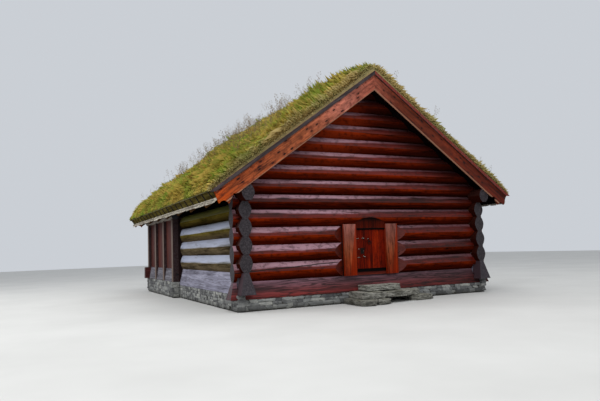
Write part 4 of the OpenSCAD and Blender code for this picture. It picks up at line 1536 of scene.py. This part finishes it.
@dataclass
class Doorstep:
    """Rough slabs in place of the plain ones, with broken edges and split faces."""

    nodes: dict[str, Object]
    seed: int = 21
    voxel: float = 0.02

    def rough(self, name: str, finish: Material) -> Object:
        """Remeshes a node and roughens it.

        Args:
            name: The CAD node.
            finish: Material of the stone.

        Returns:
            The object.
        """
        made = linked("rough_" + name, self.nodes[name].data.copy())
        made.data.materials.clear()
        made.data.materials.append(finish)
        weld = made.modifiers.new("weld", "WELD")
        weld.merge_threshold = 0.0005
        mesh = made.modifiers.new("remesh", "REMESH")
        mesh.mode = "VOXEL"
        mesh.voxel_size = self.voxel
        graph = bpy.context.evaluated_depsgraph_get()
        data = bpy.data.meshes.new_from_object(made.evaluated_get(graph))
        made.modifiers.clear()
        made.data = data
        count = len(data.vertices)
        at = np.empty(count * 3, dtype=np.float32)
        data.vertices.foreach_get("co", at)
        at = at.reshape(-1, 3).astype(float)
        low, high = at.min(axis=0), at.max(axis=0)
        # Split layers 30 mm thick, broad hollows and fine chips, less on the trodden tops
        layers = wobble(at * np.array([0.6, 0.6, 4.0]), 0.12, self.seed)
        broad = wobble(at, 0.22, self.seed + 1)
        fine = wobble(at, 0.06, self.seed + 2)
        normal = np.empty(count * 3, dtype=np.float32)
        data.vertices.foreach_get("normal", normal)
        normal = normal.reshape(-1, 3)
        push = 0.022 * layers + 0.028 * broad + 0.01 * fine - 0.02
        flat = np.abs(normal[:, 2:3])
        at += normal * push[:, None] * (1 - 0.6 * flat)
        at = np.clip(at, low, high)
        data.vertices.foreach_set("co", at.astype(np.float32).ravel())
        data.polygons.foreach_set("use_smooth", [True] * len(data.polygons))
        data.update()
        return made

    def build(self, finish: Material) -> None:
        """Roughens the three layers.

        Args:
            finish: Material of the stone.
        """
        for name in ("step_top_slab", "step_middle_slabs", "step_base_stones"):
            piece = self.rough(name, finish)
            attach(piece, "house")
            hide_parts(name)


@dataclass
class Nails:
    """Nail heads on the bargeboards and studs on the door leaf."""

    house: House
    tree: ScatterTree
    seed: int = 9
    nail: float = 0.018
    stud: float = 0.042
    first: float = 0.35
    last: float = 5.3
    step: float = 0.62

    # Heights of the nails in a row, square to the slope, and x and z of the studs from the leaf's lower left corner
    ROW = (-0.09, 0.03, 0.15)
    STUDS = ((0.085, 0.862), (0.13, 0.87), (0.27, 0.872), (0.315, 0.865), (0.1, 0.315), (0.14, 0.322),
             (0.285, 0.35), (0.325, 0.33), (0.13, 0.56), (0.275, 0.5), (0.46, 0.85))

    def head(self) -> list[Object]:
        """Makes a hand-forged nail head of unit width, low and eight-sided.

        Returns:
            The one variant.
        """
        ring = [(math.cos(a), math.sin(a)) for a in np.linspace(0, 2 * math.pi, 9)[:-1]]
        points = [[0.5 * c, 0.0, 0.5 * s] for c, s in ring] + [[0.36 * c, -0.22, 0.36 * s] for c, s in ring]
        points.append([0, -0.3, 0])
        faces = [[i, (i + 1) % 8, 8 + (i + 1) % 8, 8 + i] for i in range(8)]
        faces += [[8 + i, 8 + (i + 1) % 8, 16] for i in range(8)]
        return [mesh_object("nail_head", np.array(points), faces)]

    def build(self, finish: Material, rubbed: Material) -> None:
        """Sets the nails of the bargeboards and the studs of the door.

        Args:
            finish: Material of the nails.
            rubbed: Material of the studs.
        """
        h = self.house
        rng = np.random.default_rng(self.seed)
        front = h.roof_front - h.capping_t
        places, turns = [], []
        for side in (1, -1):
            for u in np.arange(self.first, self.last, self.step):
                for w in self.ROW:
                    x, z = h.slope(u + rng.uniform(-0.03, 0.03), w + rng.uniform(-0.01, 0.01))
                    places.append([side * x, front, z])
                    turns.append([0, 0, 0])
                    places.append([side * x, h.roof_back + h.capping_t, z])
                    turns.append([0, 0, math.pi])
        count = len(places)
        points = Points(np.array(places), np.full((count, 3), self.nail), np.array(turns), np.zeros(count))
        piece = self.tree.run("bargeboard_nails", points, self.head(), finish, self.seed, 0.15)
        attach(piece, "house")
        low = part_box("door_leaf")[0]
        studs = [[low[0] + x, low[1], low[2] + z] for x, z in self.STUDS]
        count = len(studs)
        points = Points(np.array(studs), np.full((count, 3), self.stud), np.zeros((count, 3)), np.zeros(count))
        # The studs' material paints glints on their tops
        piece = self.tree.run("door_studs", points, self.head(), rubbed, self.seed, 0.1)
        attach(piece, "door")


@dataclass
class BarkEdge:
    """Torn ends of the bark sheets that hang out under the eaves boards."""

    house: House
    tree: ScatterTree
    seed: int = 31
    kinds: int = 6

    # Heights of the four sheets above the underside of the roof boards
    LAYERS = (0.036, 0.052, 0.068, 0.084)

    def flakes(self) -> list[Object]:
        """Makes thin torn sheets of unit size, curled down at their free edge.

        Returns:
            The variants.
        """
        kinds = []
        n = 6
        across = np.linspace(-0.5, 0.5, n)
        thick = np.array([0, 0, 0.09])
        for number in range(self.kinds):
            rng = np.random.default_rng(300 + number)
            rows = []
            for depth, level in ((-1.0, 0.0), (0.0, 0.0), (0.55, -0.12), (1.0, -0.4)):
                torn = rng.uniform(-0.16, 0.16, n) if depth == 1.0 else np.zeros(n)
                rows.append(np.stack([np.full(n, depth) + torn, across, np.full(n, level)
                                      + rng.uniform(-0.05, 0.05, n)], axis=1))
            top = np.concatenate(rows)
            points = np.concatenate([top, top - thick])
            faces = []
            size = len(rows)
            for r in range(size - 1):
                for c in range(n - 1):
                    a = r * n + c
                    faces.append([a, a + n, a + n + 1, a + 1])
                    faces.append([v + size * n for v in (a, a + 1, a + n + 1, a + n)])
            rim = [*range(n), *(r * n + n - 1 for r in range(1, size)),
                   *((size - 1) * n + c for c in range(n - 2, -1, -1)), *(r * n for r in range(size - 2, 0, -1))]
            for i, a in enumerate(rim):
                b = rim[(i + 1) % len(rim)]
                faces.append([a, b, b + size * n, a + size * n])
            kinds.append(mesh_object(f"flake_{number}", points, faces))
        return kinds

    def build(self, finish: Material) -> None:
        """Lays the torn edges on both eaves.

        Args:
            finish: Material of the bark.
        """
        h = self.house
        rng = np.random.default_rng(self.seed)
        places, sizes, turns = [], [], []
        for side in (1, -1):
            for layer, w in enumerate(self.LAYERS):
                y = h.roof_front + 0.02
                while y < h.roof_back - 0.1:
                    wide = rng.uniform(0.12, 0.34)
                    u = h.eaves_u + 0.045 - 0.012 * layer + rng.uniform(-0.02, 0.012)
                    x, z = h.slope(u, w)
                    places.append([side * x, min(y + wide / 2, h.roof_back - wide / 2), z])
                    sizes.append([rng.uniform(0.035, 0.06), wide * 1.1, rng.uniform(0.03, 0.06)])
                    tilt = h.pitch + rng.uniform(-0.05, 0.12)
                    turns.append([0, tilt, 0] if side > 0 else [0, tilt, math.pi])
                    y += wide * 0.85
        count = len(places)
        points = Points(np.array(places), np.array(sizes), np.array(turns), rng.integers(0, self.kinds, count))
        piece = self.tree.run("bark_edges", points, self.flakes(), finish, self.seed, 0.1)
        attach(piece, "house")


@dataclass
class Dress:
    """Finishes of the CAD nodes that stay as they are."""

    nodes: dict[str, Object]
    finishes: dict[str, Material]

    WORN: ClassVar[dict[str, tuple[str, ...]]] = {
        "front_log": ("front_logs_odd", "front_logs_even"),
        "front_sill": ("front_sill",),
        "side_log": ("side_logs_odd", "side_logs_even"),
        "wall_plate": ("wall_plates",),
        "side_sill": ("side_sills",),
        "stave_sill": ("stave_sills",),
        "back_sill": ("back_sill",),
        "post": ("stave_posts",),
        "end_post": ("wall_end_posts",),
        "tie": ("back_tie_beam",),
        "plate": ("stave_plates",),
        "jamb": ("door_jamb_planks",),
        "door": ("door_leaf",),
        "head": ("door_head_panel",),
        "reveal": ("door_posts", "door_ledges"),
        "threshold": ("door_threshold",),
        "barge": ("bargeboards_left", "bargeboards_right"),
        "capping": ("capping_boards_left",),
        "capping_lee": ("capping_boards_right",),
        "eaves": ("eaves_boards",),
        "soffit": ("roof_boards_left", "roof_boards_right"),
        "inner_x": ("floor_joists",),
        "inner_y": ("floor_boards", "rafters_left", "rafters_right"),
        "bark": ("birch_bark_left", "birch_bark_right"),
        "iron": ("door_pintles", "door_straps", "door_ironwork", "turf_hooks"),
        "rubble_core": ("plinth_front", "plinth_sides", "plinth_back"),
    }

    def build(self) -> None:
        """Puts each finish on its nodes."""
        for key, names in self.WORN.items():
            for name in names:
                data = self.nodes[name].data
                data.materials.clear()
                data.materials.append(self.finishes[key])


def finishes(house: House) -> dict[str, Material]:
    """Builds every finish of the house.

    Args:
        house: The house's lines.

    Returns:
        Finish name to material.
    """
    # Tarred round logs: deep red, or olive brown that partly paints the grass's reflection; painted shade makes the
    # seams nearly black, and a pale film on the upper side paints both weathering and the sky's sheen
    red_log_shaded = ((0.13, "200500"), (0.18, "3a0b01"), (0.3, "5e1804"), (0.43, "902c09"), (0.5, "88280c"),
               (0.6, "7c2113"), (0.72, "6c1d17"), (0.86, "4e1613"))
    olive_log_shaded_reflecting = ((0.13, "161004"), (0.22, "382c12"), (0.34, "5c4e20"), (0.45, "716426"), (0.56, "777030"),
                  (0.70, "7c7a34"), (0.86, "55521f"))
    plate_log_shaded = ((0.2, "030202"), (0.45, "0f0b05"), (0.6, "1c170c"), (0.8, "262115"))
    front = house.front_wall_y
    head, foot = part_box("door_head_panel"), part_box("door_threshold")
    rake = (house.ridge_z, house.pitch, house.half_span)
    timber = {
        "front_log": Timber("tarred gable logs", "2a0a04", "6a1d0b", "8f2f12", Axis.X, lit_profile=red_log_shaded,
                            bleach_sheen_tone="a17b85", bleach_sheen=1.0, bleach_sheen_tilt=(0.25, 0.37), bleach_sheen_rise=0.03,
                            facet_shade="561508", facet_left_sheen="5c3a38", gable=rake, right_shade=0.12, end="241f22", end_axis=Axis.X,
                            rough=0.42, gloss=0.08, course=0.4625, course_from=0.77, knots=0.6, cracks=1.0,
                            mottle=0.65, split=(-4.6, 0.99, -0.93, 1.19)),
        # The gable sill is red at its foot and mauve higher up, which paints the sky's reflection on its sloping
        # face; its right side has painted shade
        "front_sill": Timber("gable sill", "2c0f12", "57242a", "7b4148", Axis.X, fade=(
            (0.0, "84201a"), (0.35, "8a3c3c"), (0.65, "86525a"), (1.0, "926b78")), fade_axis=Axis.Z,
            fade_span=(house.ground, house.ground + 0.45), gable=rake, right_shade=0.42, end="3a3c42", end_axis=Axis.X,
            rough=0.6, gloss=0.05, cracks=1.0, knots=0.3, grainy=2.0, furrows=0.75),
        "side_log": Timber("tarred side logs", "1d150b", "3c2f18", "5a4a26", Axis.Y, lit_profile=olive_log_shaded_reflecting,
                           bleach_sheen_tone="a6abbf", bleach_sheen=1.0, bleach_sheen_tilt=(0.08, 0.26), bleach_sheen_top=(2.36, 2.48),
                           low_tone="80705a", low_span=(1.7, 2.3), end="241f22", end_axis=Axis.Y, stub_y=front - 0.06,
                           rough=0.4, gloss=0.12, course=0.4625, course_from=1.007),
        # Painted shade: the wall plates are nearly black, as they lie in deep shade under the eaves
        "wall_plate": Timber("wall plates", "120b06", "221a0e", "3a301b", Axis.Y, lit_profile=plate_log_shaded, end="241f22",
                             end_axis=Axis.Y, stub_y=front - 0.06, rough=0.6, gloss=0.0),
        "side_sill": Timber("side sill", "4a4753", "807e8e", "acabbc", Axis.Y, end="2f2b30", end_axis=Axis.Y,
                            stub_y=front - 0.06, stub="3a2a30", rough=0.7, gloss=0.0, cracks=0.6, knots=0.25,
                            grainy=2.4, furrows=0.4),
        "stave_sill": Timber("stave sills", "3d3a40", "65626a", "8a8790", Axis.Y, rough=0.7, gloss=0.0, cracks=1.0,
                             knots=0.1, grainy=2.0, furrows=0.6),
        "back_sill": Timber("back sill", "2d1010", "4d2320", "6f3a34", Axis.X, bleach_sheen_tone="857a80", bleach_sheen=0.4,
                            end="45211c", end_axis=Axis.X, rough=0.7, gloss=0.0, cracks=1.0, furrows=0.5),
        "post": Timber("stave posts", "1a0907", "351411", "4f231d", Axis.Z, end="2b100c", end_axis=Axis.Y, rough=0.6,
                       gloss=0.1, cracks=0.8, outer=(house.stave_face, house.back_face)),
        # Painted shade: the wall end posts are nearly black, as the deep shadow where the log wall ends
        "end_post": Timber("wall end posts", "0f0606", "200c0b", "331513", Axis.Z, rough=0.6, gloss=0.05),
        "tie": Timber("tie beam", "2c1211", "4a2320", "6b3a33", Axis.X, rough=0.55, gloss=0.15),
        "stave": Timber("stave planks", "260d09", "4a1f19", "6b382f", Axis.Z, rough=0.55, gloss=0.08),
        # Painted light: the stave plates are pale grey, as the sky lights them from the left
        "plate": Timber("stave plates", "45403b", "78716a", "a39c93", Axis.Y, rough=0.7, gloss=0.0, end="1f2126",
                        end_axis=Axis.Y),
        "jamb": Timber("door jambs", "3a1209", "5c1e10", "7d3420", Axis.Z, fade=(
            (0.0, "962c12"), (0.3, "ae4a26"), (0.5, "ae5a3a"), (0.75, "a45e4c"), (1.0, "aa6a5e")), fade_axis=Axis.Z,
            fade_span=(house.ground + 0.45, house.ground + 1.925), rough=0.5, gloss=0.02, specular=0.06, knots=0.4,
            facet_shade="a62a00", mottle=0.35),
        "door": Timber("door planks", "260300", "6c1200", "a03004", Axis.Z, rough=0.6, gloss=0.0, specular=0.08,
                       knots=0.7, board=0.27, board_axis=Axis.X, mottle=0.5),
        # Painted shadow: the upper part of the threshold is nearly black, as the shade under the leaf; below it is
        # red
        "threshold": Timber("door threshold", "1a0502", "3a1008", "521c10", Axis.X, fade=(
            (0.0, "7c3022"), (0.4, "64231a"), (0.52, "0c0302"), (1.0, "080202")), fade_axis=Axis.Z, fade_noise=0.05,
            fade_span=(foot[0][2], foot[1][2]), rough=0.7, gloss=0.0, specular=0.1),
        # Painted shadow: the head panel is nearly black at its foot, above the leaf, and dark at its top, under the
        # arch
        "head": Timber("door head panel", "160300", "3a0900", "5c1604", Axis.Z, fade=(
            (0.0, "050100"), (0.11, "070100"), (0.15, "601604"), (0.6, "4e1002"), (0.85, "1c0500")), fade_noise=0.0,
            fade_axis=Axis.Z, fade_span=(head[0][2], head[1][2]), rough=0.6, gloss=0.0, specular=0.08, knots=0.4),
        # Painted shade: the door posts and ledges in the reveal are nearly black
        "reveal": Timber("door posts", "080302", "140503", "240c07", Axis.Z, rough=0.7, gloss=0.0),
        "eaves": Timber("eaves boards", "302a14", "4e4522", "6a6132", Axis.Y, bleach_sheen_tone="8b8a6c", bleach_sheen=0.8,
                        bleach_sheen_tilt=(0.6, 0.75), rough=0.75, gloss=0.0, knots=0.1, furrows=0.5),
        # Painted shade: the underside of the roof boards is nearly black
        "soffit": Timber("roof boards", "040303", "0b0708", "150f10", Axis.Y, rough=0.8, gloss=0.0, board=0.16,
                         board_axis=Axis.X),
        "inner_x": Timber("floor joists", "3b2614", "5c3f24", "7d5b38", Axis.X, rough=0.6, gloss=0.0),
        "inner_y": Timber("floor boards and rafters", "3b2614", "5c3f24", "7d5b38", Axis.Y, rough=0.6, gloss=0.0,
                          board=0.24, board_axis=Axis.X),
        # Brightest orange at the left heel and darker towards the right: painted light on the left board and painted
        # shade on the right one
        "barge": Timber("bargeboards", "45150a", "8a3013", "b54f1c", Axis.X, fade=(
            (0.0, "f07010"), (0.035, "d8560e"), (0.09, "b65426"), (0.25, "dc7648"), (0.42, "d8806a"), (0.5, "c46a52"),
            (0.58, "8c3c20"), (1.0, "742410")),
            fade_axis=Axis.X, fade_span=(-house.eaves_x, house.eaves_x), rough=0.45, gloss=0.05, knots=1.0,
            knot_grid=0.2, knot_r=0.02, knot_plane=True, mottle=0.6, slope=house.pitch,
            arris=(house.ridge_z, house.pitch, -0.150)),
        "capping": Timber("capping boards", "211a1b", "3a3132", "574c4e", Axis.X, rough=0.8, gloss=0.0, knots=0.2,
                          furrows=0.4, slope=house.pitch),
    }
    # The right capping still has its tar on the edge that faces front
    timber["capping_lee"] = replace(timber["capping"], name="capping boards with a tarred edge", end="7c2a18",
                                    end_axis=Axis.Y)
    made = {key: finish.build() for key, finish in timber.items()}
    # Dry fieldstone, the darker joints behind it, and the split slabs of the doorstep
    made["rubble"] = Stone("foundation fieldstone", ("37363a", "5a5a5a", "7f807e", "abaaa2"), spread=0.36).build()
    made["rubble_core"] = Stone("joints between stones", ("1b1b1a", "2b2a27", "3c3a35", "4b4841")).build()
    made["slab"] = Stone("split doorstep stone", ("2a2823", "605e55", "918f86", "c2c0b4"), moss=0.4,
                         damp_below=0.05, strata=0.9, spread=0.12).build()
    # Grown turf: root mat, blades and seed stalks
    made["turf"] = Grass("root mat", ("3c3e1a", "5c5429"), ("727930", "93854a"), along=False,
                         verge=house.roof_front).build()
    made["grass"] = Grass("autumn grass", verge=house.roof_front).build()
    made["straw"] = Grass("seed stalks", ("4a4220", "5c4a2c"), ("64523a", "786448")).build()
    made["bark"] = Bark().build()
    made["iron"] = Iron().build()
    made["rubbed_iron"] = Iron("forged iron, rubbed bright on top", rubbed=0.9).build()
    return made


@dataclass
class Studio:
    """Pale floor, soft sky light and the camera where the photographer stood."""

    house: House
    floor: float = 60.0
    lens: float = 33.18
    # Camera: distance from the centre line, distance in front of the gable, height, and two of its directions
    aside: float = -9.04
    back_off: float = 13.87
    eye: float = 1.583
    right: tuple[float, float, float] = (0.8985, -0.4376, -0.0346)
    up: tuple[float, float, float] = (-0.0072, -0.0935, 0.9956)

    # Name, place, aim, edge and power of each lamp
    LAMPS = (("sky_front", (-9, -16, 14), (0, 0, 2), 14, 1400), ("sky_left", (-18, 2, 13), (0, 0, 2), 14, 1500),
             ("sky_top", (2, -4, 20), (0, 0, 3), 18, 1500))

    def build(self) -> None:
        """Makes the floor, the lights, the world and the camera."""
        corners = [(-self.floor, -self.floor, 0), (self.floor, -self.floor, 0), (self.floor, self.floor, 0),
                   (-self.floor, self.floor, 0)]
        floor = mesh_object("studio_floor", np.array(corners), [[0, 1, 2, 3]])
        g = Graph("pale floor")
        tone = g.add("TexNoise", {"Vector": g.coords, "Scale": 0.4, "Detail": 3, "Roughness": 0.55})
        tone = g.add("ValToRGB", (tone,), stops=((0.3, "c9c8c4"), (0.7, "d2d1cd")))
        floor.data.materials.append(g.finish(tone, 0.9))
        scene = bpy.context.scene
        scene.view_settings.view_transform = "Standard"
        world = bpy.data.worlds.new("soft sky")
        scene.world = world
        world.use_nodes = True
        nodes = Nodes(world.node_tree)
        nodes.add("OutputWorld", (nodes.add("Background", ("e6ebf2", 0.75)),))
        for lamp in self.LAMPS:
            self.lamp(*lamp)
        data = bpy.data.cameras.new("photo_camera")
        data.lens = self.lens
        data.sensor_width = 36.0
        data.clip_end = 300
        camera = linked("photo_camera", data)
        right, up = Vector(self.right), Vector(self.up)
        turn = Matrix((right, up, right.cross(up))).transposed().to_4x4()
        place = (self.aside, self.house.front_wall_y - self.back_off, self.eye)
        camera.matrix_world = Matrix.Translation(place) @ turn
        scene.camera = camera

    @staticmethod
    def lamp(name: str, place: tuple[float, float, float], aim: tuple[float, float, float], size: float,
             power: float) -> None:
        """Adds a large soft lamp.

        Args:
            name: Name of the lamp.
            place: Where it stands.
            aim: Where it points.
            size: Edge of the lamp.
            power: Its power in watts.
        """
        data = bpy.data.lights.new(name, "AREA")
        data.size = size
        data.energy = power
        lamp = linked(name, data)
        lamp.location = place
        lamp.rotation_euler = (Vector(aim) - Vector(place)).to_track_quat("-Z", "Y").to_euler()


def main() -> None:
    """Builds the dressed house on the frame."""
    logging.basicConfig(level=logging.INFO, format="%(name)s: %(message)s")
    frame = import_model()
    house = House.from_frame()
    tree = ScatterTree()
    made = finishes(house)
    LOG.info("finishes: %d", len(made))
    Studio(house).build()
    LOG.info("studio")
    Dress(frame["nodes"], made).build()
    LOG.info("CAD nodes dressed")
    Boards(house).build(made["stave"])
    LOG.info("stave boards")
    Rubble(house, tree).build(made["rubble"])
    LOG.info("foundation stones")
    Doorstep(frame["nodes"]).build(made["slab"])
    LOG.info("doorstep")
    Nails(house, tree).build(made["iron"], made["rubbed_iron"])
    LOG.info("nails and studs")
    BarkEdge(house, tree).build(made["bark"])
    LOG.info("bark edges")
    Turf(house, tree).build(made["turf"], made["grass"], made["straw"])
    LOG.info("turf")


if __name__ == "__main__":
    main()
